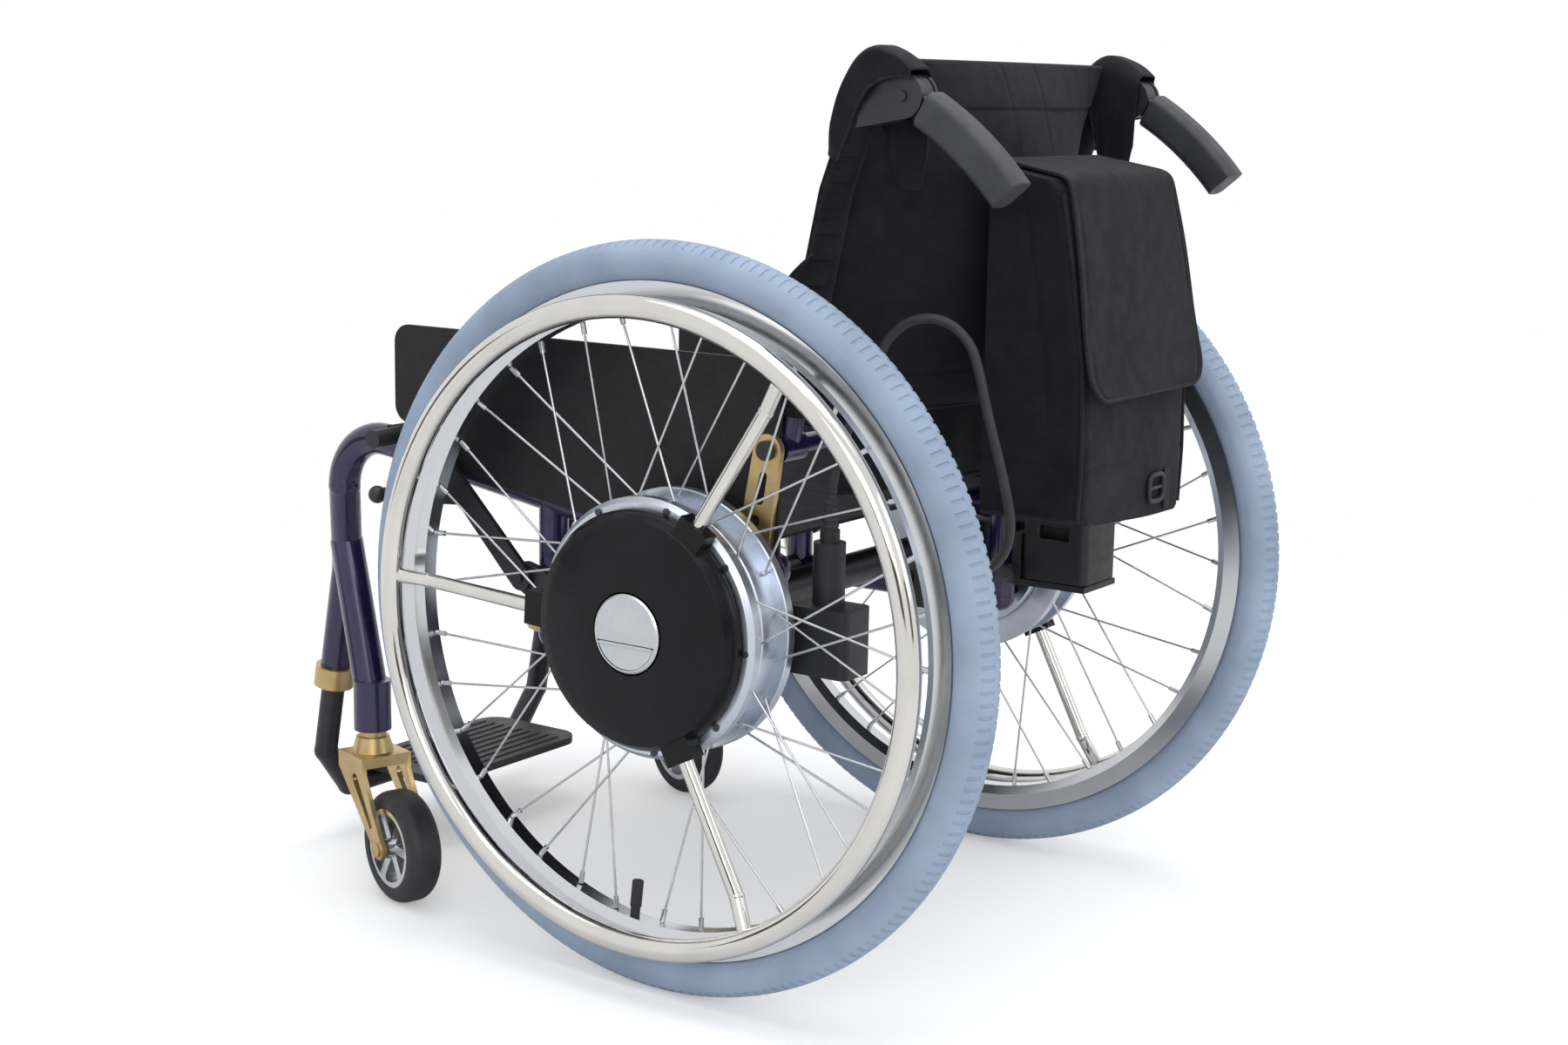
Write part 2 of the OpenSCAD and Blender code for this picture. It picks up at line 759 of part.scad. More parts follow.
module frame_tubes() {
    rail_rear = [-rail_back, frame_half, rail_at(-rail_back)];
    rail_dir = [cos(rail_slope), 0, sin(rail_slope)];
    rail_front = [bend_x - bend_r * sin(rail_slope), frame_half, bend_z + bend_r * cos(rail_slope)];
    neck_dir = unit(knee - bend_end);
    post_top = [post_x, frame_half, rail_at(post_x)];
    post_base = [post_x, frame_half, lower_z];
    rear_base = [-rail_back, frame_half, lower_z];
    rod(rail_rear + corner_trim * rail_dir, rail_front + corner_trim * rail_dir, tube_r);
    translate([bend_x, frame_half, bend_z]) rotate([90, 0, 0]) rotate_extrude(angle = 90 + rail_slope)
        translate([bend_r, 0]) circle(r = tube_r + bend_swell);
    bent_rod([bend_end + corner_trim * neck_dir, knee, hanger_end], tube_r);
    translate(bend_end) sphere(r = tube_r + corner_swell);
    bent_rod([post_top, post_base, rear_base, rail_rear], lower_r);
    translate(rail_rear) sphere(r = tube_r + corner_swell);
}

module castor_leg() {
    leg_top = bend_end + 0.68 * (knee - bend_end);
    leg_base = [castor_x, castor_y, barrel_low + barrel_h - barrel_r];
    rod(leg_top, leg_base, leg_r);
    translate([castor_x, castor_y, barrel_low]) cylinder(h = barrel_h, r = barrel_r);
}

module side_frame(s) {
    color([0.16, 0.13, 0.28]) chair() side(s) difference() {
        union() {
            frame_tubes();
            castor_leg();
        }
        rod(hanger_end - hanger_bore * hanger_dir, hanger_end + 5 * hanger_dir, foot_tube_r + run_gap);
        translate([castor_x, castor_y, barrel_low - 5]) cylinder(h = barrel_h, r = stem_r + run_gap);
    }
}

module cross_tubes() {
    half = frame_half - tube_r - seat_gap;
    low_half = frame_half - lower_r - corner_swell - seat_gap;
    tube_half = clamp_out - 1;
    axle_bore = axle_pin_in + 20;
    front_bar_x = bend_x - 40;
    color([0.09, 0.09, 0.11]) chair() {
        difference() {
            pin_y([0, -tube_half, wheel_r], axle_tube_r, 2 * tube_half);
            both_sides() pin_y([0, clamp_out - axle_bore, wheel_r], axle_pin_r + run_gap, axle_bore);
        }
        pin_y([post_x, -low_half, lower_z], lower_r, 2 * low_half);
        pin_y([front_bar_x, -half, rail_at(front_bar_x)], lower_r, 2 * half);
    }
}

module axle_clamps() {
    half_x = 26;
    wall_low = 6;
    wall_high = 5;
    wall_in = 4;
    low = lower_z - lower_r - wall_low;
    high = wheel_r + axle_tube_r + wall_high;
    inner = frame_half - lower_r - wall_in;
    color([0.08, 0.08, 0.09]) chair() both_sides() difference() {
        translate([-half_x, inner, low]) cube([2 * half_x, clamp_out - inner, high - low]);
        rod([-half_x - 1, frame_half, lower_z], [half_x + 1, frame_half, lower_z], lower_r + fit_gap);
        pin_y([0, inner - 1, wheel_r], axle_tube_r + fit_gap, clamp_out - inner + 2);
    }
}

module back_brackets() {
    fork_drop = 50;
    fork_at = [-rail_back - 2, back_z - fork_drop];
    foot_r = 15;
    fork_r = 14;
    top_r = 13;
    arm_root_r = 9;
    arm_r = 11;
    window_r1 = 3.5;
    window_r2 = 4.5;
    window_from = [-5, 29];
    window_to = [-1, 10];
    low_hole = [3, -8];
    low_hole_r = 5;
    arm_hole_r = 4;
    sunk_y = bracket_y + bracket_t - sunk_depth;
    color([0.74, 0.58, 0.3]) chair() both_sides() difference() {
        plate_y(bracket_y, bracket_t) difference() {
            union() {
                bar_2d(bracket_foot, foot_r, fork_at, fork_r);
                bar_2d(fork_at, fork_r, flat(pivot), top_r);
                bar_2d(fork_at, arm_root_r, bracket_arm, arm_r);
            }
            translate(flat(pivot)) circle(r = bracket_pivot_r + fit_gap);
            translate(bracket_foot) circle(r = bracket_bolt_r + fit_gap);
            translate(bracket_arm) circle(r = bracket_bolt_r + fit_gap);
            bar_2d(fork_at + window_from, window_r1, fork_at + window_to, window_r2);
            translate(fork_at + low_hole) circle(r = low_hole_r);
            translate((fork_at + bracket_arm) / 2) circle(r = arm_hole_r);
        }
        for (b = [bracket_foot, bracket_arm])
            pin_y([b[0], sunk_y, b[1]], bracket_head_r + fit_gap, sunk_depth + 1);
    }
}

module seat_sling() {
    low = tube_r + seat_gap;
    length = 400;
    rear = 40;
    edge_in = 1.5;
    half = frame_half + tube_r - edge_in;
    color([0.12, 0.12, 0.14]) chair() translate([-rear, -half, rail_at(-rear)]) rotate([0, -rail_slope, 0])
        translate([0, 0, low]) cube([length, 2 * half, sling_t]);
}

module side_guards() {
    r = 16;
    nose_back = 36;
    nose_rise = 12;
    nose_run = 60;
    tail_past = 18;
    nose = bend_x - nose_back;
    nose_low = rail_at(nose) + tube_r + nose_rise;
    tail = -rail_back - tail_past;
    color([0.09, 0.09, 0.1]) chair() both_sides() plate_y(guard_y, guard_t) difference() {
        union() {
            translate([tail, nose_low]) round_rect([nose - tail, guard_top - nose_low], r);
            polygon([
                [tail, rail_at(tail)], [nose - nose_run, rail_at(nose - nose_run)],
                [nose - nose_run / 2, nose_low + r], [tail, guard_top - 2 * r]
            ]);
        }
        translate(flat(pivot)) circle(r = bracket_pivot_r + fit_gap);
        translate(bracket_foot) circle(r = bracket_bolt_r + fit_gap);
        translate(bracket_arm) circle(r = bracket_bolt_r + fit_gap);
    }
}

// Pivot pins and bracket bolts of the frame, and the bolts of the two motor plates
module fasteners() {
    bracket_out = bracket_y + bracket_t;
    pin_in = frame_half - cane_r - 4;
    bolt_in = frame_half + tube_r + corner_swell + seat_gap;
    color([0.12, 0.12, 0.13]) chair() both_sides() {
        pin_y([pivot[0], pin_in, back_z], bracket_pivot_r, bracket_out - pin_in);
        pin_y([pivot[0], bracket_out, back_z], bracket_pivot_r + 3, 4);
        for (b = [bracket_foot, bracket_arm]) {
            pin_y([b[0], bolt_in, b[1]], bracket_bolt_r, bracket_out - sunk_depth - bolt_in);
            pin_y([b[0], bracket_out - sunk_depth, b[1]], bracket_head_r, sunk_depth - seat_gap);
        }
        translate([0, wheel_y, wheel_r])
            plate_bolts(plate_bolt_r, -plate_back + seat_gap, sunk_depth - seat_gap);
    }
}

// Power assist electrics: plug housing on the left motor, battery cradle on the right motor

module connector_housings() {
    color([0.07, 0.07, 0.08]) chair() {
        translate([housing_x, housing_y - tongue[1], tongue_low]) cube(tongue);
        translate([housing_x + housing_lap - housing[0], housing_y - housing[1], housing_low])
            linear_extrude(height = housing[2]) round_rect([housing[0], housing[1]], 8);
        translate([plug_at[0], plug_at[1], housing_low + housing[2]])
            cylinder(h = plug_top - housing_low - housing[2], r = plug_r);
        translate([plug_at[0], plug_at[1], plug_top]) cylinder(h = gland_len, r = gland_r);
        mirror([0, 1, 0]) {
            cradle_in = battery_in - battery_y;
            back = battery_front + battery_gap;
            translate([housing_x, housing_y - tongue[1], tongue_low]) cube(tongue);
            translate([back, cradle_in, battery_base - battery_gap - cradle_floor])
                cube([housing_x + housing_lap - back, battery_y, cradle_h]);
            translate([battery_front - battery_x, cradle_in, battery_base - battery_gap - cradle_floor])
                cube([battery_x + gland_r, battery_y, cradle_floor]);
            pin_y([lead_dock[0], -dock_y, lead_dock[2]], gland_r, gland_r + 1);
        }
    }
}

// A smooth path through a list of points: each stretch bends with its neighbours
function eased(p, i, t) =
    let (a = p[max(i - 1, 0)], b = p[i], c = p[i + 1], d = p[min(i + 2, len(p) - 1)])
    b + t * (c - a) / 2 + t * t * (a - 2.5 * b + 2 * c - d / 2) + t * t * t * (1.5 * (b - c) + (d - a) / 2);
function smooth_path(p, n) = concat(
    [for (i = [0 : len(p) - 2], k = [0 : n - 1]) eased(p, i, k / n)], [p[len(p) - 1]]);

// A tube swept along a list of points, with rings square to the path
function path_dir(p, i) = unit(p[min(i + 1, len(p) - 1)] - p[max(i - 1, 0)]);
function ring_side(d) = unit(cross(d, [0.3, 0.2, 0.93]));
function tube_ring(c, d, r, n) = [for (j = [0 : n - 1])
    c + r * (cos(360 * j / n) * ring_side(d) + sin(360 * j / n) * cross(d, ring_side(d)))];

module swept_tube(p, r, n) {
    m = len(p);
    points = [for (i = [0 : m - 1]) each tube_ring(p[i], path_dir(p, i), r, n)];
    walls = [for (i = [0 : m - 2], j = [0 : n - 1], half = [0, 1])
        let (a = i * n + j, b = i * n + (j + 1) % n)
        half == 0 ? [a, a + n, b] : [b, a + n, b + n]];
    start = [for (j = [1 : n - 2]) [0, j, j + 1]];
    stop = [for (j = [1 : n - 2]) [(m - 1) * n, (m - 1) * n + j + 1, (m - 1) * n + j]];
    polyhedron(points = points, faces = concat(walls, start, stop));
}

module motor_lead() {
    color([0.13, 0.13, 0.15]) chair() swept_tube(smooth_path(lead_route, lead_steps), lead_d / 2, 10);
}

module battery() {
    slot = [30, 10, 12];
    slot_drop = 22;
    slot_x = battery_front - battery_x / 2 - slot[0] / 2;
    slot_z = battery_base + battery_z - slot_drop;
    corner = 7;
    color([0.1, 0.1, 0.11]) chair() difference() {
        translate([battery_front - battery_x, -battery_in, battery_base])
            linear_extrude(height = battery_z) round_rect([battery_x, battery_y], corner);
        for (y = [-battery_in - 1, -battery_in + battery_y - slot[1]])
            translate([slot_x, y, slot_z]) cube([slot[0], slot[1] + 1, slot[2]]);
    }
}

// Wheel locks

module lock_brackets() {
    low_y = frame_half + lower_r + seat_gap;
    eye_r = 13;
    post_end = [post_x, lock_pivot[2] - 6];
    post_end_r = 15;
    pin_proud = 3;
    color([0.08, 0.08, 0.09]) chair() both_sides() {
        plate_y(low_y, lock_y - low_y - body_gap) bar_2d(flat(lock_pivot), eye_r, post_end, post_end_r);
        pin_y([lock_pivot[0], lock_y - 1, lock_pivot[2]], lock_pin_r, lock_t + 1 + pin_proud);
    }
}

module lock_lever(s) {
    elbow = lock_pivot + 0.55 * (shoe - lock_pivot);
    mid_y = lock_y + lock_t / 2;
    eye_r = 11;
    shoe_arm_r = 9;
    lever_root_r = 7;
    lever_tip_r = 6;
    knob_ball_r = 8;
    color([0.07, 0.07, 0.08]) chair() side(s) difference() {
        union() {
            plate_y(lock_y, lock_t) bar_2d(flat(lock_pivot), eye_r, flat(shoe), shoe_arm_r);
            plate_y(lock_y, lock_t) bar_2d(flat(elbow), lever_root_r, flat(lock_knob), lever_tip_r);
            pin_y([shoe[0], lock_y, shoe[2]], shoe_r, wheel_y + tyre_w / 2 - lock_y);
            translate([lock_knob[0], mid_y + 2, lock_knob[2]]) sphere(r = knob_ball_r);
        }
        pin_y([lock_pivot[0], lock_y - 1, lock_pivot[2]], lock_pin_r + run_gap, lock_t + 2);
    }
}

// Castors

module castor_at(s) {
    chair() translate([castor_x, s * castor_y, 0]) rotate([0, 0, -castor_turn]) children();
}

module castor_fork(s) {
    inner = castor_w / 2 + fork_gap;
    outer = inner + fork_t;
    axle_at = [-castor_trail, castor_r];
    crown = [(fork_toe + fork_heel) / 2, fork_crown_z];
    along = unit(crown - axle_at);
    across = fork_leg * [-along[1], along[0]];
    color([0.76, 0.62, 0.36]) castor_at(s) {
        both_sides() plate_y(inner, fork_t) difference() {
            union() {
                translate(axle_at) circle(r = fork_eye_r);
                polygon([
                    axle_at - across, [fork_toe, fork_crown_z - fork_t], [fork_toe, fork_crown_z + fork_t],
                    [fork_heel, fork_crown_z + fork_t], [fork_heel, fork_crown_z - fork_t], axle_at + across
                ]);
            }
            bar_2d(axle_at + window_low * along, window_r, crown - window_top * along, window_r + 2);
        }
        translate([fork_heel, -outer, fork_crown_z]) cube([fork_toe - fork_heel, 2 * outer, crown_t]);
        translate([0, 0, fork_crown_z + crown_t - 1])
            cylinder(h = fork_top - fork_crown_z - crown_t + 1, r1 = crown_r, r2 = crown_r - 4);
        translate([0, 0, fork_top]) cylinder(h = barrel_low - fork_top - fork_rub, r = stem_r + 5.65);
        translate([0, 0, fork_top]) cylinder(h = barrel_h - 6, r = stem_r);
        pin_y([-castor_trail, -outer - bolt_head_h, castor_r], castor_bolt_r, 2 * (outer + bolt_head_h));
        both_sides() pin_y([-castor_trail, outer, castor_r], bolt_head_r, bolt_head_h);
    }
}

module castor_tyre(s) {
    round_r = 11;
    deep = 30;
    color([0.08, 0.08, 0.09]) castor_at(s) translate([-castor_trail, 0, castor_r]) turned() difference() {
        translate([castor_r - deep, -castor_w / 2]) round_rect([deep, castor_w], round_r);
        translate([0, -castor_w]) square([castor_hub_r + fit_gap, 2 * castor_w]);
    }
}

module castor_hub(s) {
    hub_half = castor_w / 2 - 1;
    rim_wall = 5;
    boss = castor_bolt_r + 5;
    boss_half = hub_half + fork_gap - 1;
    spoke_count = 6;
    spoke_half = 4;
    spoke_in = 4;
    color([0.82, 0.83, 0.84]) castor_at(s) translate([-castor_trail, 0, castor_r]) difference() {
        union() {
            turned() translate([castor_hub_r - rim_wall, -hub_half]) square([rim_wall, 2 * hub_half]);
            turned() translate([castor_bolt_r + run_gap, -boss_half])
                square([boss - castor_bolt_r, 2 * boss_half]);
            for (k = [0 : spoke_count - 1]) spin(k * 360 / spoke_count)
                translate([boss - 2, -hub_half + spoke_in, -spoke_half])
                    cube([castor_hub_r - boss - 1, 2 * (hub_half - spoke_in), 2 * spoke_half]);
        }
        pin_y([0, -castor_w, 0], castor_bolt_r + run_gap, 2 * castor_w);
    }
}

// Footrest

module footrest_clamps() {
    clamp_len = 20;
    clamp_wall = 4.5;
    clamp_r = tube_r + clamp_wall;
    middle = hanger_end - 2 * hanger_dir;
    top = middle - clamp_len / 2 * hanger_dir;
    base = middle + clamp_len / 2 * hanger_dir;
    color([0.76, 0.6, 0.34]) chair() both_sides() difference() {
        rod(top, base, clamp_r);
        rod(top - hanger_dir, hanger_end + seat_gap * hanger_dir, tube_r + fit_gap);
        rod(middle, base + hanger_dir, foot_tube_r + run_gap);
    }
}

module footrest_tube() {
    top = hanger_end - (hanger_bore - 8) * hanger_dir;
    color([0.06, 0.06, 0.07]) chair() {
        both_sides() bent_rod([top, foot_knee, foot_corner], foot_tube_r);
        both_sides() translate(foot_corner) sphere(r = foot_tube_r + corner_swell);
        pin_y([foot_bar_x, -foot_corner[1], foot_bar_z], foot_tube_r, 2 * foot_corner[1]);
    }
}

module footplate() {
    rib = 1.5;
    rib_w = 4;
    rib_n = 9;
    rib_edge = 10;
    rib_half = foot_half - 26;
    corner = 24;
    rear = foot_front - foot_len;
    pitch = (foot_len - 2 * rib_edge - rib_w) / (rib_n - 1);
    color([0.14, 0.14, 0.15]) chair() {
        translate([rear, -foot_half, foot_z - foot_plate_t])
            linear_extrude(height = foot_plate_t - rib) round_rect([foot_len, 2 * foot_half], corner);
        for (k = [0 : rib_n - 1])
            translate([rear + rib_edge + k * pitch, -rib_half, foot_z - rib - 1])
                cube([rib_w, 2 * rib_half, rib + 1]);
    }
}

// Backrest

module cane_line(r) {
    bent_rod([pivot, cane_bend, cane_top], r);
}

module back_canes() {
    eye_in = frame_half - cane_r - 4;
    eye_out = guard_y - 3 * body_gap;
    eye_r = cane_r + 2;
    cross_r = 8;
    color([0.14, 0.12, 0.24]) chair() {
        difference() {
            both_sides() {
                translate([0, frame_half, 0]) cane_line(cane_r);
                pin_y([pivot[0], eye_in, back_z], eye_r, eye_out - eye_in);
            }
            both_sides()
                pin_y([pivot[0], eye_in - 1, back_z], bracket_pivot_r + run_gap, eye_out - eye_in + 2);
        }
        pin_y([pivot[0], -eye_in, back_z], cross_r, 2 * eye_in);
    }
}

module bracket_outline() {
    cane_wall = 7;
    bar_2d([cane_x(handle_z), handle_z], cane_r + cane_wall, flat(handle_pivot), handle_boss_r);
}

module handle_brackets() {
    slot_y = frame_half - handle_half + handle_cheek;
    slot_w = 2 * (handle_half - handle_cheek);
    color([0.08, 0.08, 0.09]) chair() both_sides() {
        difference() {
            plate_y(frame_half - handle_half, 2 * handle_half) difference() {
                bracket_outline();
                translate(flat(handle_pivot)) circle(r = handle_pin_r + run_gap);
            }
            translate([0, frame_half, 0]) cane_line(cane_r + fit_gap);
            pin_y([handle_pivot[0], slot_y, handle_pivot[2]], grip_from, slot_w);
            translate([handle_pivot[0] - handle_arm, slot_y, handle_pivot[2] - handle_arm])
                cube([handle_arm, slot_w, 2 * handle_arm]);
        }
        pin_y([handle_pivot[0], frame_half - handle_half, handle_pivot[2]], handle_pin_r, 2 * handle_half);
        for (b = [flat(handle_pivot), [cane_x(handle_z) - 1, handle_z]])
            pin_y([b[0], frame_half + handle_half, b[1]], handle_pin_r, 2);
    }
}

// A grip swings on its pivot pin: a flat eye with a short neck, and a curved bar of rounded section
module push_handle(s) {
    eye_half = handle_half - handle_cheek - body_gap;
    eye_r = handle_boss_r - 1;
    neck_lap = 2;
    corner = 7;
    color([0.17, 0.17, 0.19]) chair() translate([handle_pivot[0], s * frame_half, handle_pivot[2]]) {
        plate_y(-eye_half, 2 * eye_half) difference() {
            union() {
                circle(r = eye_r);
                rotate(180 + grip_start_dip) translate([0, -neck_half])
                    square([grip_from + neck_lap, 2 * neck_half]);
            }
            circle(r = handle_pin_r + run_gap);
        }
        rotate([0, 180 - grip_start_dip, 0]) translate([grip_from, 0, 0]) rotate([90, 0, 0])
            translate([0, grip_arc_r, 0]) rotate([0, 0, -90]) rotate_extrude(angle = grip_turn)
                translate([grip_arc_r - grip_h / 2, -grip_w / 2]) round_rect([grip_h, grip_w], corner);
    }
}

// The back sling: a padded sheet that sags between the canes, deepest below its middle
module back_pad_solid() {
    across = pad_across + 1;
    count = across * (pad_up + 1);
    points = [for (face = [1, -1], j = [0 : pad_up], i = [0 : pad_across])
        pad_point(2 * i / pad_across - 1, j / pad_up, face)];
    front = [for (j = [0 : pad_up - 1], i = [0 : pad_across - 1], half = [0, 1])
        let (a = j * across + i) half == 0 ? [a, a + across, a + 1] : [a + 1, a + across, a + across + 1]];
    back = [for (t = front) [t[0] + count, t[2] + count, t[1] + count]];
    edge = concat(
        [for (i = [0 : pad_across - 1]) i],
        [for (j = [0 : pad_up - 1]) j * across + pad_across],
        [for (i = [pad_across : -1 : 1]) pad_up * across + i],
        [for (j = [pad_up : -1 : 1]) j * across]);
    n = len(edge);
    sides = [for (k = [0 : n - 1], half = [0, 1])
        let (a = edge[k], b = edge[(k + 1) % n])
        half == 0 ? [a, b, a + count] : [b, b + count, a + count]];
    polyhedron(points = points, faces = concat(front, back, sides));
}

// A sleeve swept along a list of points, open at both ends
module swept_sleeve(p, outer, inner, n) {
    m = len(p);
    count = m * n;
    points = concat(
        [for (i = [0 : m - 1]) each tube_ring(p[i], path_dir(p, i), outer, n)],
        [for (i = [0 : m - 1]) each tube_ring(p[i], path_dir(p, i), inner, n)]);
    walls = [for (i = [0 : m - 2], j = [0 : n - 1], half = [0, 1])
        let (a = i * n + j, b = i * n + (j + 1) % n)
        half == 0 ? [a, a + n, b] : [b, a + n, b + n]];
    lining = [for (t = walls) [t[0] + count, t[2] + count, t[1] + count]];
    start = [for (j = [0 : n - 1], half = [0, 1])
        let (b = (j + 1) % n) half == 0 ? [j, b, j + count] : [b, b + count, j + count]];
    stop = [for (t = start) [t[0] + count - n, t[2] + count - n, t[1] + count - n]];
    polyhedron(points = points, faces = concat(walls, lining, start, stop));
}

// Sleeves hold the sling to the canes below the handle brackets, and a pocket closes over each cane top
module back_upholstery() {
    top_dir = unit(cane_top - cane_bend);
    handle_at = [cane_x(handle_z), 0, handle_z];
    start = pivot + 0.13 * (cane_bend - pivot);
    sleeve_in = (cane_r + corner_swell + fit_gap) / cos(180 / sleeve_n);
    color([0.1, 0.1, 0.12]) chair() {
        back_pad_solid();
        both_sides() translate([0, frame_half, 0]) {
            swept_sleeve(
                [start, cane_bend, handle_at - sleeve_stop * top_dir], sleeve_r, sleeve_in, sleeve_n);
            difference() {
                rod(cane_top - pocket_len * top_dir, cane_top + pocket_cap * top_dir, sleeve_r);
                rod(cane_bend, cane_top + seat_gap * top_dir, cane_r + fit_gap);
            }
        }
    }
}

module bag() {
    top_rear = [bag_front - bag_top_depth, bag_top - bag_top_fall];
    color([0.13, 0.13, 0.15]) chair() plate_y(-bag_half, 2 * bag_half) polygon([
        [bag_front, bag_base], [bag_front - bag_base_depth + flap_t, bag_base],
        [bag_front - bag_belly_depth, bag_base + bag_belly_h], top_rear, top_rear + [bag_edge, bag_edge],
        [bag_front, bag_top]
    ]);
}

// The flap covers the top of the bag, hangs down its back and flares out towards its lower edge
module bag_flap() {
    top = bag_top - bag_top_fall;
    slope = (bag_belly_depth - bag_top_depth) / (top - bag_base - bag_belly_h);
    x_top = bag_front - bag_top_depth - flap_gap;
    x_low = x_top - slope * flap_drop;
    inner_edge = [x_top + bag_edge, top + bag_edge + 1.4 * flap_gap];
    outer_edge = inner_edge + [-flap_gap, flap_t];
    flap_top_half = bag_half - 8;
    flap_low_half = bag_half + 9;
    corner = 26;
    low = top - flap_drop;
    color([0.15, 0.15, 0.17]) chair() intersection() {
        plate_y(-flap_low_half, 2 * flap_low_half) polygon([
            [flap_hinge[0], flap_hinge[2]], [flap_hinge[0], flap_hinge[2] - flap_t],
            inner_edge, [x_top, top + 0.8 * flap_gap], [x_low, low],
            [x_low - flap_t, low], [x_top - flap_t, top + 2 * flap_gap], outer_edge
        ]);
        translate([x_low - 2 * flap_t, 0, 0]) rotate([90, 0, 90])
            linear_extrude(height = bag_front - x_low + 4 * flap_t) intersection() {
                translate([-flap_low_half, low]) round_rect([2 * flap_low_half, bag_h], corner);
                polygon([
                    [-flap_low_half - flap_t, low - flap_t], [flap_low_half + flap_t, low - flap_t],
                    [flap_top_half, flap_hinge[2] + flap_t], [-flap_top_half, flap_hinge[2] + flap_t]
                ]);
            }
    }
}

tyre(1);  // left_tyre
tyre(-1);  // right_tyre
rim(1);  // left_rim
rim(-1);  // right_rim
spokes(1);  // left_spokes
spokes(-1);  // right_spokes
hub_shell(1);  // left_hub_shell
hub_shell(-1);  // right_hub_shell
magnets(1);  // left_magnets
magnets(-1);  // right_magnets
bearings(1);  // left_bearings
bearings(-1);  // right_bearings
valve(1);  // left_valve
valve(-1);  // right_valve
hub_screws(1);  // left_hub_screws
hub_screws(-1);  // right_hub_screws
handrim(1);  // left_handrim
handrim(-1);  // right_handrim
hub_cover(1);  // left_hub_cover
hub_cover(-1);  // right_hub_cover
release_knob(1);  // left_release_knob
release_knob(-1);  // right_release_knob
release_grip(1);  // left_release_grip
release_grip(-1);  // right_release_grip
motor_plate(1);  // left_motor_plate
motor_plate(-1);  // right_motor_plate
stator(1);  // left_stator
stator(-1);  // right_stator
axle(1);  // left_axle
axle(-1);  // right_axle
castor_fork(1);  // left_castor_fork
castor_fork(-1);  // right_castor_fork
castor_tyre(1);  // left_castor_tyre
castor_tyre(-1);  // right_castor_tyre
castor_hub(1);  // left_castor_hub
castor_hub(-1);  // right_castor_hub
lock_lever(1);  // left_lock_lever
lock_lever(-1);  // right_lock_lever
push_handle(1);  // left_push_handle
push_handle(-1);  // right_push_handle
side_frame(1);  // left_side_frame
side_frame(-1);  // right_side_frame
cross_tubes();
axle_clamps();
back_brackets();
seat_sling();
side_guards();
fasteners();
connector_housings();
motor_lead();
battery();
lock_brackets();
footrest_clamps();
footrest_tube();
footplate();
back_canes();
handle_brackets();
back_upholstery();
bag();
bag_flap();
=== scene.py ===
"""Dressing of a wheelchair with power assist drive wheels.

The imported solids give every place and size. This script paints them, and stands detailed pieces in the place of
the cloth, the tyres, the lead and the moulded parts. Chair points are in millimetres: x forward from the rear
axle line, y to the sitter's left, z up from the floor.
"""

import json
import math

import bmesh
import bpy
import numpy as np
from mathutils import Matrix, Vector


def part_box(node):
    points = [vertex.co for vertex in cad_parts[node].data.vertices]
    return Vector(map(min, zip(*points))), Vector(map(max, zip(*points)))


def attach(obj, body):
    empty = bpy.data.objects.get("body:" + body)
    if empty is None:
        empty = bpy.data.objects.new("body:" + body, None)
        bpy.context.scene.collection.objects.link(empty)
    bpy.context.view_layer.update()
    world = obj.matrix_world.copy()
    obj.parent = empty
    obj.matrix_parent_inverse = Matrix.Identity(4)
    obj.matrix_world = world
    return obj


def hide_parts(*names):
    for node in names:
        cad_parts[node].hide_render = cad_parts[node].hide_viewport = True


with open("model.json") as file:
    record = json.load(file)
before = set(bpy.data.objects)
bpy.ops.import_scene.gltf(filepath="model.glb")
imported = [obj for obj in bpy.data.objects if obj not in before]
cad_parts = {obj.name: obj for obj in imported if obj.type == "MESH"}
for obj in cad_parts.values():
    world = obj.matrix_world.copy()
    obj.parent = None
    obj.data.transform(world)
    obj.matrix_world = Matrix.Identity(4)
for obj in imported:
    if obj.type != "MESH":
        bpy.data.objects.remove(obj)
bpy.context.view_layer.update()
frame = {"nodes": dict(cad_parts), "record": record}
nodes = frame["nodes"]
slot_of = {part["node"]: part["material_slot"] for part in frame["record"]["subparts"]}
body_of = {node: body for body, names in frame["record"]["behaviour"]["bodies"].items() for node in names}

MM = 0.001
tyre_low, tyre_high = (np.array(corner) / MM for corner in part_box("left_tyre"))
AXLE_X = (tyre_low[0] + tyre_high[0]) / 2
WHEEL_Y = (tyre_low[1] + tyre_high[1]) / 2
WHEEL_R = (tyre_high[2] - tyre_low[2]) / 2
TYRE_R = (tyre_high[1] - tyre_low[1]) / 2
SIDES = (("left", 1), ("right", -1))


def chair(points):
    """Chair points in millimetres to frame points in metres: the axle line is set back by AXLE_X."""
    return (np.asarray(points, float) + (AXLE_X, 0, 0)) * MM


def unit(vectors):
    """Vectors divided by their lengths."""
    return vectors / np.linalg.norm(vectors, axis=-1, keepdims=True)


def linear(red, green, blue):
    """A display colour of 0 to 255 as the linear colour that a shader takes."""
    c = np.array([red, green, blue]) / 255
    return np.where(c <= 0.04045, c / 12.92, ((c + 0.055) / 1.055) ** 2.4)


def shown(name, data):
    """A new object of the scene for a mesh, a lamp or a camera."""
    obj = bpy.data.objects.new(name, data)
    bpy.context.scene.collection.objects.link(obj)
    return obj


# Camera

CAMERA_PLACE = (-1116.66, 1722.25, 732.04)
CAMERA_YAW, CAMERA_PITCH, CAMERA_ROLL = (math.radians(turn) for turn in (-55.66, -10.49, 1.07))
SENSOR_WIDTH, FOCAL_LENGTH, FAR_SIGHT = 36, 54.02, 100


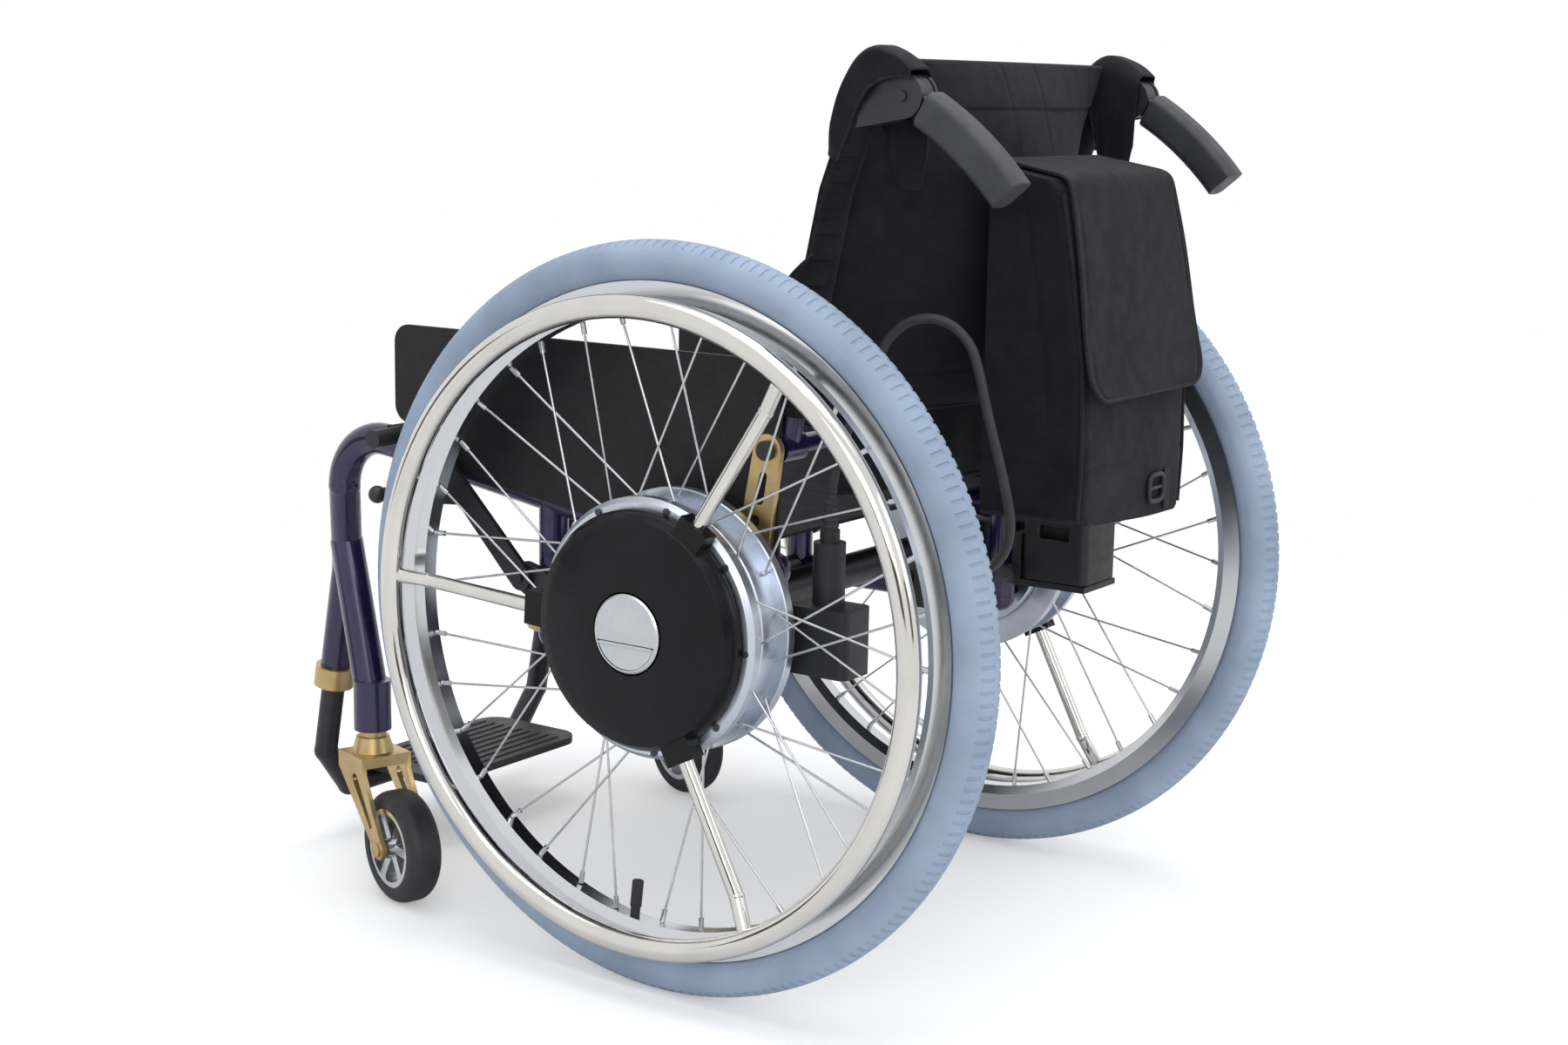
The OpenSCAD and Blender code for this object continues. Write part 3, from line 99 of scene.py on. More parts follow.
def photo_camera():
    """A camera at the photograph's place: behind the chair, on its left, a little above the backrest."""
    flat = math.cos(CAMERA_PITCH)
    ahead = np.array([flat * math.cos(CAMERA_YAW), flat * math.sin(CAMERA_YAW), math.sin(CAMERA_PITCH)])
    level = unit(np.cross(ahead, (0, 0, 1)))
    above = np.cross(level, ahead)
    right = math.cos(CAMERA_ROLL) * level + math.sin(CAMERA_ROLL) * above
    up = math.cos(CAMERA_ROLL) * above - math.sin(CAMERA_ROLL) * level
    lens = bpy.data.cameras.new("photo_camera")
    lens.sensor_fit = "HORIZONTAL"
    lens.sensor_width = SENSOR_WIDTH
    lens.lens = FOCAL_LENGTH
    lens.clip_end = FAR_SIGHT
    camera = shown("photo_camera", lens)
    turn = Matrix([[right[i], up[i], -ahead[i]] for i in range(3)]).to_4x4()
    camera.matrix_world = Matrix.Translation(chair(CAMERA_PLACE)) @ turn
    bpy.context.scene.camera = camera


photo_camera()


# Shader groups shared by the finishes

REAL, VECTOR = "NodeSocketFloat", "NodeSocketVector"


def new_group(name, inputs, output):
    """An empty shader group with named inputs and one value as output; returns its tree, inlet and outlet."""
    tree = bpy.data.node_groups.new(name, "ShaderNodeTree")
    for label, kind in inputs:
        tree.interface.new_socket(label, in_out="INPUT", socket_type=kind)
    tree.interface.new_socket(output, in_out="OUTPUT", socket_type=REAL)
    return tree, tree.nodes.new("NodeGroupInput"), tree.nodes.new("NodeGroupOutput")


def link_all(tree, *pairs):
    """Links the first socket of each pair to the second."""
    for source, target in pairs:
        tree.links.new(source, target)


def math_node(tree, operation, *values):
    """A math node of one operation, with links or plain numbers as its inputs; returns its result."""
    node = tree.nodes.new("ShaderNodeMath")
    node.operation = operation
    for socket, value in zip(node.inputs, values):
        if isinstance(value, (int, float)):
            socket.default_value = value
        else:
            tree.links.new(value, socket)
    return node.outputs[0]


def cloud_group():
    """Soft noise of a given scale, stretched so that its levels from Low to High run from 0 to 1."""
    inputs = [("Place", VECTOR), ("Scale", REAL), ("Low", REAL), ("High", REAL)]
    tree, inlet, outlet = new_group("soft_cloud", inputs, "Mask")
    noise = tree.nodes.new("ShaderNodeTexNoise")
    noise.inputs["Detail"].default_value = 3
    spread = tree.nodes.new("ShaderNodeMapRange")
    link_all(tree, (inlet.outputs["Place"], noise.inputs["Vector"]),
             (inlet.outputs["Scale"], noise.inputs["Scale"]), (noise.outputs[0], spread.inputs["Value"]),
             (inlet.outputs["Low"], spread.inputs["From Min"]),
             (inlet.outputs["High"], spread.inputs["From Max"]), (spread.outputs[0], outlet.inputs["Mask"]))
    return tree


def weave_group():
    """Plain weave on a map in metres: the product of a sine across and a sine along, raised to run from 0 to 1."""
    tree, inlet, outlet = new_group("nylon_weave", [("Map", VECTOR), ("Threads", REAL)], "Height")
    split = tree.nodes.new("ShaderNodeSeparateXYZ")
    tree.links.new(inlet.outputs["Map"], split.inputs[0])
    turns = math_node(tree, "MULTIPLY", inlet.outputs["Threads"], math.pi)
    across, along = (math_node(tree, "SINE", math_node(tree, "MULTIPLY", split.outputs[axis], turns))
                     for axis in "XY")
    crossed = math_node(tree, "MULTIPLY", across, along)
    tree.links.new(math_node(tree, "MULTIPLY_ADD", crossed, 0.5, 0.5), outlet.inputs["Height"])
    return tree


soft_cloud = cloud_group()
nylon_weave = weave_group()


def cloud(tree, place, scale, low=0.3, high=0.7):
    """The soft cloud group placed in a finish with its own scale and levels; returns its mask."""
    group = tree.nodes.new("ShaderNodeGroup")
    group.node_tree = soft_cloud
    tree.links.new(place, group.inputs["Place"])
    for label, value in (("Scale", scale), ("Low", low), ("High", high)):
        group.inputs[label].default_value = value
    return group.outputs["Mask"]


BUMP_HEIGHT = 0.0006


def finish(name, colour, rough, metal=0.0, vary=0.12, rough_vary=0.08, patch=28, grain=700, grain_depth=0.05,
           weave=0, weave_depth=0.3, stretch=None, second=None, specular=0.5, **sockets):
    """A procedural finish on Object coordinates. The colour drifts between a darker and a lighter tone in soft
    patches, the roughness drifts in smaller ones, and a fine grain, or a weave on the cloth map, gives the bump.
    Stretch draws the grain out along an axis, as brushing does, and sockets set plain shader values."""
    look = bpy.data.materials.new(name)
    look.use_nodes = True
    tree = look.node_tree
    shader = tree.nodes["Principled BSDF"]
    place = tree.nodes.new("ShaderNodeTexCoord")
    spot = brushed = place.outputs["Object"]
    if stretch:
        mapping = tree.nodes.new("ShaderNodeMapping")
        mapping.inputs["Scale"].default_value = stretch
        tree.links.new(spot, mapping.inputs["Vector"])
        brushed = mapping.outputs[0]
    base = linear(*colour)
    light = linear(*second) if second else base * (1 + vary)
    tones = tree.nodes.new("ShaderNodeMix")
    tones.data_type = "RGBA"
    tones.inputs["A"].default_value = (*(base * (1 - vary)), 1)
    tones.inputs["B"].default_value = (*np.minimum(light, 1), 1)
    drift = tree.nodes.new("ShaderNodeMapRange")
    drift.inputs["To Min"].default_value = rough - rough_vary
    drift.inputs["To Max"].default_value = rough + rough_vary
    height = cloud(tree, brushed, grain, 0.2, 0.8)
    if weave:
        cloth = tree.nodes.new("ShaderNodeGroup")
        cloth.node_tree = nylon_weave
        cloth.inputs["Threads"].default_value = weave
        tree.links.new(place.outputs["UV"], cloth.inputs["Map"])
        height = math_node(tree, "ADD", math_node(tree, "MULTIPLY", cloth.outputs[0], weave_depth), height)
    bump = tree.nodes.new("ShaderNodeBump")
    bump.inputs["Strength"].default_value = grain_depth
    bump.inputs["Distance"].default_value = BUMP_HEIGHT
    link_all(tree, (cloud(tree, spot, patch), tones.inputs["Factor"]),
             (tones.outputs["Result"], shader.inputs["Base Color"]),
             (cloud(tree, brushed, patch * 3), drift.inputs["Value"]),
             (drift.outputs[0], shader.inputs["Roughness"]),
             (height, bump.inputs["Height"]), (bump.outputs[0], shader.inputs["Normal"]))
    shader.inputs["Metallic"].default_value = metal
    shader.inputs["Specular IOR Level"].default_value = specular
    for label, value in sockets.items():
        shader.inputs[label.replace("_", " ").title()].default_value = value
    return look


FINISHES = {
    "grey_tyre": dict(colour=(150, 167, 190), second=(163, 180, 203), rough=0.7, patch=16, grain=420,
                      grain_depth=0.25),
    "polished_rim": dict(colour=(206, 208, 212), rough=0.17, metal=1.0, vary=0.02, rough_vary=0.015, grain=900,
                         grain_depth=0.004),
    "spoke_steel": dict(colour=(196, 197, 200), rough=0.26, metal=1.0, vary=0.1, grain=300),
    "hub_alloy": dict(colour=(196, 203, 214), rough=0.33, metal=1.0, vary=0.06, stretch=(1, 40, 1), grain=26,
                      grain_depth=0.14),
    "magnet_grey": dict(colour=(92, 94, 98), rough=0.4, metal=0.9),
    "bearing_steel": dict(colour=(176, 178, 182), rough=0.25, metal=1.0),
    "black_rubber": dict(colour=(34, 34, 37), second=(46, 46, 49), rough=0.6, grain_depth=0.2),
    "dark_screws": dict(colour=(62, 62, 66), second=(82, 82, 86), rough=0.36, metal=0.9),
    "pushrim_steel": dict(colour=(214, 212, 208), rough=0.1, metal=1.0, vary=0.04, rough_vary=0.03, grain=240,
                          grain_depth=0.015),
    "cover_black": dict(colour=(17, 17, 20), second=(22, 22, 26), rough=0.28, rough_vary=0.03, grain=1500,
                        grain_depth=0.03, specular=0.2),
    "knob_silver": dict(colour=(196, 200, 206), rough=0.3, metal=1.0, vary=0.05, stretch=(30, 1, 1), grain=90),
    "copper_winding": dict(colour=(170, 98, 60), rough=0.4, metal=0.9, stretch=(1, 1, 20), grain=400),
    "axle_steel": dict(colour=(178, 180, 184), rough=0.3, metal=1.0, stretch=(1, 30, 1), grain=120),
    "frame_purple": dict(colour=(36, 29, 68), second=(43, 35, 81), rough=0.28, metal=0.4, patch=18, grain=2400,
                         grain_depth=0.03, coat_weight=0.6, coat_roughness=0.12),
    "gold_anodised": dict(colour=(192, 164, 114), second=(206, 182, 136), rough=0.36, metal=0.9, grain=900,
                          grain_depth=0.06),
    "castor_alloy": dict(colour=(208, 210, 213), rough=0.24, metal=1.0, vary=0.06),
    "lock_black": dict(colour=(29, 29, 32), second=(38, 38, 42), rough=0.42, grain=900, grain_depth=0.1),
    "grip_rubber": dict(colour=(43, 44, 49), second=(54, 55, 61), rough=0.5, grain=1300, grain_depth=0.25),
    "black_nylon": dict(colour=(18, 18, 23), second=(25, 25, 32), rough=0.8, patch=22, grain=900,
                        grain_depth=0.35, weave=1500, weave_depth=0.8, specular=0.2, sheen_weight=0.05,
                        sheen_roughness=0.45),
    "bound_edge": dict(colour=(21, 21, 26), second=(29, 29, 36), rough=0.7, patch=60, grain=1400,
                       grain_depth=0.4, weave=700, specular=0.2, sheen_weight=0.05),
    "guard_black": dict(colour=(24, 24, 26), second=(30, 30, 33), rough=0.5, grain=1100, grain_depth=0.15,
                        specular=0.3),
    "housing_black": dict(colour=(32, 32, 35), second=(41, 41, 44), rough=0.46, grain=1300, grain_depth=0.16,
                          specular=0.35),
    "foot_black": dict(colour=(28, 27, 33), second=(37, 36, 43), rough=0.4, grain=1600, grain_depth=0.1),
    "footplate_black": dict(colour=(40, 40, 43), second=(50, 50, 53), rough=0.52, grain_depth=0.2),
}
looks = {name: finish(name, **values) for name, values in FINISHES.items()}

for node, obj in nodes.items():
    obj.data.materials.clear()
    obj.data.materials.append(looks[slot_of[node]])


# Mesh makers

MERGE_NEAR, SOLID_MERGE_NEAR = 2e-5, 1e-5
FLAT_WITHIN = math.radians(0.4)


def grid(*axes):
    """Three coordinate arrays as one grid of points, each stretched over the others' rows and columns."""
    return np.stack(np.broadcast_arrays(*axes), -1).astype(float)


def grid_quads(rows, cols):
    """The four corners of every cell of a grid, as numbers of its points counted row by row."""
    corner = np.arange(rows - 1)[:, None] * cols + np.arange(cols - 1)
    return np.stack([corner, corner + 1, corner + cols + 1, corner + cols], -1).reshape(-1, 4)


def run_of(points, axis):
    """Distance of each row or column along a grid, in metres: the running sum of the mean steps."""
    steps = np.linalg.norm(np.diff(points, axis=axis), axis=-1).mean(axis=1 - axis)
    return np.concatenate([[0], np.cumsum(steps)]) * MM


def smooth_step(x, low, high):
    """0 below low, 1 above high and an even S between them."""
    t = np.clip((x - low) / (high - low), 0, 1)
    return t * t * (3 - 2 * t)


def ridge(x, middle, width):
    """A bell of height 1 about a middle value."""
    return np.exp(-((x - middle) / width) ** 2)


def new_mesh(name, points, faces):
    """A mesh from an array of points in metres and a list of faces."""
    mesh = bpy.data.meshes.new(name)
    mesh.from_pydata(points.tolist(), [], faces)
    return mesh


def rework(mesh, merge=0, join_flats=False):
    """Merges points nearer than a distance, if one is given, then joins the triangles of every flat face or else
    turns all faces outward."""
    bm = bmesh.new()
    bm.from_mesh(mesh)
    if merge:
        bmesh.ops.remove_doubles(bm, verts=bm.verts, dist=merge)
    if join_flats:
        bmesh.ops.dissolve_limit(bm, angle_limit=FLAT_WITHIN, verts=bm.verts, edges=bm.edges)
    else:
        bmesh.ops.recalc_face_normals(bm, faces=bm.faces)
    bm.to_mesh(mesh)
    bm.free()


def settle(name, mesh, look, body, stands_for, crease):
    """Merges a mesh's meeting points, turns its faces outward, shades it smooth with creases, and hangs it on
    its body."""
    rework(mesh, MERGE_NEAR)
    mesh.polygons.foreach_set("use_smooth", np.ones(len(mesh.polygons), bool))
    mesh.set_sharp_from_angle(angle=math.radians(crease))
    mesh.materials.append(look)
    piece = shown(name, mesh)
    if stands_for:
        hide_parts(*stands_for)
    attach(piece, body)
    return piece


def make(name, grids, body, slot, stands_for=(), crease=40, look=None):
    """One piece from grids of chair points. Each grid gives quads, and its map is the distance along its columns
    and rows in metres."""
    points, quads, maps, first = [], [], [], 0
    for g in grids:
        quads.append(grid_quads(*g.shape[:2]) + first)
        maps.append(grid(run_of(g, 1)[None, :], run_of(g, 0)[:, None]).reshape(-1, 2))
        points.append(chair(g.reshape(-1, 3)))
        first += len(points[-1])
    quads = np.concatenate(quads)
    mesh = new_mesh(name, np.concatenate(points), quads.tolist())
    cloth_map = mesh.uv_layers.new(name="cloth_map")
    cloth_map.data.foreach_set("uv", np.concatenate(maps)[quads.ravel()].ravel())
    return settle(name, mesh, look or looks[slot], body, stands_for, crease)


def capped(g):
    """A tube grid with its two open ends drawn in to their middle points."""
    ends = [np.broadcast_to(row.mean(0), row.shape)[None] for row in (g[0, :-1], g[-1, :-1])]
    ends = [np.concatenate([end, end[:, :1]], 1) for end in ends]
    return np.concatenate([ends[0], g, ends[1]])


def cloth_sheet(name, layers, body="backrest", stands_for=()):
    """A sheet of black nylon from the grids of its two faces; returns it with its middle surface. Each row runs
    out on one face and back on the other, and the end rows lie on the middle of both, so that the edges close."""
    middle = (layers[0] + layers[1]) / 2
    edges, faces = (np.concatenate([a, b[:, ::-1], a[:, :1]], 1) for a, b in ((middle, middle), layers))
    loop = np.concatenate([edges[:1], faces, edges[-1:]])
    return make(name, [loop], body, "black_nylon", stands_for, crease=50), middle


def binding(name, grids, body="backrest"):
    """Sewn edges in the cloth's colour, with the finish of a bound edge."""
    return make(name, grids, body, "black_nylon", look=looks["bound_edge"])


def swept(path, outline, reference):
    """An outline carried along a path. Each ring is the path's point plus the outline's first share across the
    path and its second share square to both; across is the path's direction crossed with a fixed reference."""
    ahead = unit(np.gradient(path, axis=0))
    across = unit(np.cross(ahead, reference))
    rise = np.cross(across, ahead)
    outline = np.asarray(outline, float)
    if outline.ndim == 2:
        outline = np.broadcast_to(outline, (len(path), *outline.shape))
    return path[:, None] + outline[..., :1] * across[:, None] + outline[..., 1:] * rise[:, None]


def ring(radius, sides=16):
    """A closed circle outline of the given radius, which may be one number or one for each path point."""
    turn = np.linspace(0, 2 * np.pi, sides + 1)
    return np.stack([np.multiply.outer(radius, np.cos(turn)), np.multiply.outer(radius, np.sin(turn))], -1)


def piping(path, radius, reference, sides=10):
    """A thin round cord along a path, closed at its ends."""
    return capped(swept(path, ring(radius, sides), reference))


def band(half_wide, half_thick):
    """A closed rectangle outline."""
    w, t = half_wide, half_thick
    return np.array([(-w, -t), (w, -t), (w, t), (-w, t), (-w, -t)])


def distances(path):
    """Distance of each point along a path from its start."""
    return np.concatenate([[0], np.cumsum(np.linalg.norm(np.diff(path, axis=0), axis=1))])


def eased_path(points, steps):
    """A smooth path through points: each stretch is the cubic that bends with its two neighbours."""
    p = np.asarray(points, float)
    b, c = p[:-1], p[1:]
    a, d = np.vstack([p[:1], p[:-2]]), np.vstack([p[2:], p[-1:]])
    t = (np.arange(steps) / steps)[None, :, None]
    a, b, c, d = (q[:, None] for q in (a, b, c, d))
    line = b + t * (c - a) / 2 + t**2 * (a - 2.5 * b + 2 * c - d / 2) + t**3 * (1.5 * (b - c) + (d - a) / 2)
    return np.vstack([line.reshape(-1, 3), p[-1:]])


def even_path(points, count):
    """A path through points at even distances along its straight stretches."""
    p = np.asarray(points, float)
    far = distances(p)
    return np.stack([np.interp(np.linspace(0, far[-1], count), far, p[:, i]) for i in range(p.shape[1])], -1)


COARSE_STEP, CLOTH_FRAMES, EVEN_PASSES = 3, 20, 3
CLOTH_QUALITY, CLOTH_MASS, CLOTH_PRESSURE = 6, 0.3, 3


def swollen(g, held, cap):
    """A closed tube grid blown up a little by a cloth simulation. Every third row and column is simulated under an
    inner pressure with no gravity, the held points stay, the movement is cut at the cap, and each fine point then
    takes the movement of the coarse points about it by its distance to them, evened over a few rows."""
    rows, cols = (np.unique(np.append(np.arange(0, n, COARSE_STEP), n - 1)) for n in g.shape[:2])
    coarse = g[np.ix_(rows, cols[:-1])]
    tall, around = coarse.shape[:2]
    base = np.arange(tall - 1)[:, None] * around
    here = np.arange(around)
    beside = (here + 1) % around
    quads = np.stack([base + here, base + beside, base + around + beside, base + around + here], -1)
    lids = [here[::-1].tolist(), (here + base[-1] + around).tolist()]
    points = chair(coarse.reshape(-1, 3))
    mesh = new_mesh("cloth_form", points, quads.reshape(-1, 4).tolist() + lids)
    rework(mesh)
    form = shown("cloth_form", mesh)
    pins = form.vertex_groups.new(name="held")
    pins.add(np.flatnonzero(held[np.ix_(rows, cols[:-1])]).tolist(), 1.0, "REPLACE")
    cloth = form.modifiers.new("cloth", "CLOTH").settings
    cloth.quality = CLOTH_QUALITY
    cloth.mass = CLOTH_MASS
    cloth.vertex_group_mass = pins.name
    cloth.use_pressure = True
    cloth.uniform_pressure_force = CLOTH_PRESSURE
    cloth.effector_weights.gravity = 0
    for step in range(1, CLOTH_FRAMES + 1):
        bpy.context.scene.frame_set(step)
    after = np.empty(points.size)
    form.evaluated_get(bpy.context.evaluated_depsgraph_get()).data.vertices.foreach_get("co", after)
    move = (after.reshape(-1, 3) - points) / MM
    move *= np.minimum(1, cap / np.maximum(np.linalg.norm(move, axis=1, keepdims=True), 1e-9))
    bpy.context.scene.frame_set(1)
    bpy.data.objects.remove(form)
    move = move.reshape(tall, around, 3)
    move = np.concatenate([move, move[:, :1]], 1)
    for axis, at in ((0, rows), (1, cols)):
        place = np.interp(np.arange(g.shape[axis]), at, np.arange(len(at)))
        low = np.minimum(place.astype(int), len(at) - 2)
        share = np.expand_dims(place - low, (1 - axis, 2))
        move = np.take(move, low, axis) * (1 - share) + np.take(move, low + 1, axis) * share
    for _ in range(EVEN_PASSES):
        move[1:-1] = (move[:-2] + 2 * move[1:-1] + move[2:]) / 4
        move[:, 1:-1] = (move[:, :-2] + 2 * move[:, 1:-1] + move[:, 2:]) / 4
    return g + move


ROUND_STEPS, ROUND_CREASE = 2, 35


def eased(node, width):
    """A copy of a CAD node with rounded edges: its triangles are merged, its flat faces joined, and every edge
    sharper than the crease gets a round of the given width in millimetres."""
    source = nodes[node].data
    points = np.empty(len(source.vertices) * 3)
    source.vertices.foreach_get("co", points)
    corners = np.empty(len(source.loops), int)
    source.loops.foreach_get("vertex_index", corners)
    mesh = new_mesh(node + "_eased", points.reshape(-1, 3), corners.reshape(-1, 3).tolist())
    rework(mesh, SOLID_MERGE_NEAR, join_flats=True)
    slot = slot_of[node]
    piece = settle(node + "_eased", mesh, looks[slot], body_of[node], (node,), ROUND_CREASE)
    rounds = piece.modifiers.new("rounded_edges", "BEVEL")
    rounds.width = width * MM
    rounds.segments = ROUND_STEPS
    rounds.limit_method = "ANGLE"
    rounds.angle_limit = math.radians(ROUND_CREASE)
    rounds.harden_normals = True


# Motor lead, from the left plug round behind the back to the battery cradle

LEAD_ROUTE = [
    (-116, 192.8, 389), (-116, 192.8, 412), (-119, 190, 440), (-126, 186, 468), (-136, 180, 496),
    (-144, 175, 519), (-151, 171, 539), (-165, 168, 553), (-184, 164, 558.5), (-203, 160, 553.5),
    (-217.5, 157, 539), (-225, 155, 518), (-232, 153, 489), (-240, 150, 458), (-246, 146, 430),
    (-247, 138, 404), (-237, 124, 379), (-215, 104, 359), (-187, 82, 344), (-157, 56, 332),
    (-130, 24, 322), (-109, -14, 313), (-97, -54, 305), (-91, -98.8, 299), (-90, -144.8, 295),
]
LEAD_D, LEAD_UP = 8, (0.3, 0.2, 0.93)
PLUG_BOOT, DOCK_BOOT, BOOT_ROOT_R, BOOT_RINGS, BOOT_CUT = 34, 30, 7.4, 7, 0.7


def strain_relief(name, path):
    """A tapered boot on the lead: its radius falls from the gland to the lead, with rings cut into it."""
    path = even_path(path, 60)
    far = np.linspace(0, 1, len(path))
    taper = BOOT_ROOT_R + (LEAD_D / 2 + 0.5 - BOOT_ROOT_R) * far
    radius = taper - BOOT_CUT * (np.sin(far * 2 * BOOT_RINGS * np.pi) > 0.2)
    return make(name, [piping(path, radius, LEAD_UP, 20)], "frame", "black_rubber", crease=30)


def motor_lead():
    """The lead is a round tube swept along its route, with a boot at each end."""
    path = eased_path(LEAD_ROUTE, 6)
    far = distances(path)
    tube = piping(path, LEAD_D / 2, LEAD_UP, 16)
    lead = make("motor_lead_tube", [tube], "frame", "black_rubber", ("motor_lead",))
    plug_boot = strain_relief("plug_boot", path[far < PLUG_BOOT])
    dock_boot = strain_relief("dock_boot", path[far > far[-1] - DOCK_BOOT][::-1])


motor_lead()


# Drive tyres

TREAD_BLOCKS = 200
LINE_EDGE, TREAD_EDGE, WALL_EDGE = (5, 6.5), (9, 10.5), (44, 50)
NOTCH_PLACE, NOTCH_SHAPE = (0, 0.06, 0.3, 0.36), (0.0, 1.0, 1.0, 0.0)
NOTCH_DEPTH, LINE_DEPTH, RIB_DEPTH, SKIN_GAP = 1.15, 0.35, 0.2, 0.05
RIB_ANGLES, RIB_WIDTH, ROW_SHIFT = (66, 96), 2.5, 0.5
BEAD_R, BEAD_HALF, BEAD_SPREAD = 276, 9.8, 3


def drive_tyre(side, out):
    """A ring whose section is a circle about the tyre's middle line. The section angle runs round the tyre and the
    block angle round the wheel. Both halves of the tread have a row of shallow cross notches, set half a block
    apart, a fine line parts them at the middle, two faint ribs run round each wall, and the part inside the rim is
    pressed flat."""
    marks = np.array([*LINE_EDGE, *TREAD_EDGE, WALL_EDGE[0], np.mean(WALL_EDGE), WALL_EDGE[1]])
    section = np.unique(np.concatenate([np.linspace(-180, 180, 49), marks, -marks]))[:, None]
    place = (np.arange(TREAD_BLOCKS)[:, None] + np.array(NOTCH_PLACE)).ravel()
    place = np.append(place, TREAD_BLOCKS)[None, :]
    notch = np.append(np.tile(NOTCH_SHAPE, TREAD_BLOCKS), 0.0)[None, :]
    away = np.abs(section)
    tread = smooth_step(away, *TREAD_EDGE) * (1 - smooth_step(away, *WALL_EDGE))
    line = smooth_step(away, *LINE_EDGE) * (1 - smooth_step(away, *TREAD_EDGE))
    ribs = sum(ridge(away, angle, RIB_WIDTH) for angle in RIB_ANGLES)
    rho = TYRE_R - SKIN_GAP - NOTCH_DEPTH * tread * notch - LINE_DEPTH * line - RIB_DEPTH * ribs
    shift = ROW_SHIFT * smooth_step(section, -8, 8) * (1 - smooth_step(section, 150, 180))
    turn = 2 * np.pi * (place + shift) / TREAD_BLOCKS
    angle = np.radians(section)
    radius = WHEEL_R - TYRE_R + rho * np.cos(angle)
    across = rho * np.sin(angle)
    limit = BEAD_HALF + BEAD_SPREAD * np.maximum(radius - BEAD_R, 0)
    across = np.sign(across) * np.minimum(np.abs(across), limit)
    g = grid(radius * np.cos(turn), out * WHEEL_Y + across, WHEEL_R + radius * np.sin(turn))
    make(side + "_tyre_tread", [g], side + "_wheel", "grey_tyre", (side + "_tyre",), crease=28)


for side, out in SIDES:
    drive_tyre(side, out)


# Moulded and machined parts with rounded edges

PAIRED_ROUNDS = {"hub_cover": 1.6, "push_handle": 2.2, "castor_fork": 0.9, "lock_lever": 1.0, "release_grip": 0.5}
SINGLE_ROUNDS = {"battery": 1.4, "connector_housings": 1.2, "handle_brackets": 1.4, "footplate": 0.6,
                 "side_guards": 1.0, "back_brackets": 0.9, "axle_clamps": 1.5, "lock_brackets": 1.0}

for side, _ in SIDES:
    for node, width in PAIRED_ROUNDS.items():
        eased(f"{side}_{node}", width)
for node, width in SINGLE_ROUNDS.items():
    eased(node, width)


# Back sling: a padded panel, sleeves on the canes, hoods over the handle brackets and two side wings

PIVOT_X, PIVOT_Z = -70.0, 450.0
BEND_X, BEND_Z = -113.574, 655.0
CANE_LOW, CANE_TOP = math.tan(math.radians(12)), math.tan(math.radians(20))
CANE_Y, SLEEVE_R, SLEEVE_LOW, SLEEVE_TOP = 190.0, 12.8, 477, 712
PAD_LOW, PAD_HIGH, PAD_HALF, PAD_EDGE, PAD_FILL = 476.0, 753.0, 178.0, 4, 7
SAG_LEAST, SAG_SWING, BAND_RISE, CHANNEL_STEP, CHANNEL_DEPTH = 10, 80, 0.8, 44, 1.5
BAND_SEAM_Z, LOW_SEAM_Z, MIDDLE_SEAM_Y, SIDE_SEAM = 717, 508, 27, 0.78
BAG_FRONT, BAG_HALF, BAG_BASE = -194.9, 95.0, 391.0


def cane_x(z):
    """The canes' middle line: two straight runs that meet at the bend."""
    return np.where(z < BEND_Z, PIVOT_X - (z - PIVOT_Z) * CANE_LOW, BEND_X - (z - BEND_Z) * CANE_TOP)


def sag_depth(up):
    """How far the panel's middle hangs behind the canes at a share of its height: a sine, most at a third."""
    return SAG_LEAST + SAG_SWING * np.sin(np.radians(135 * (1 - up)))


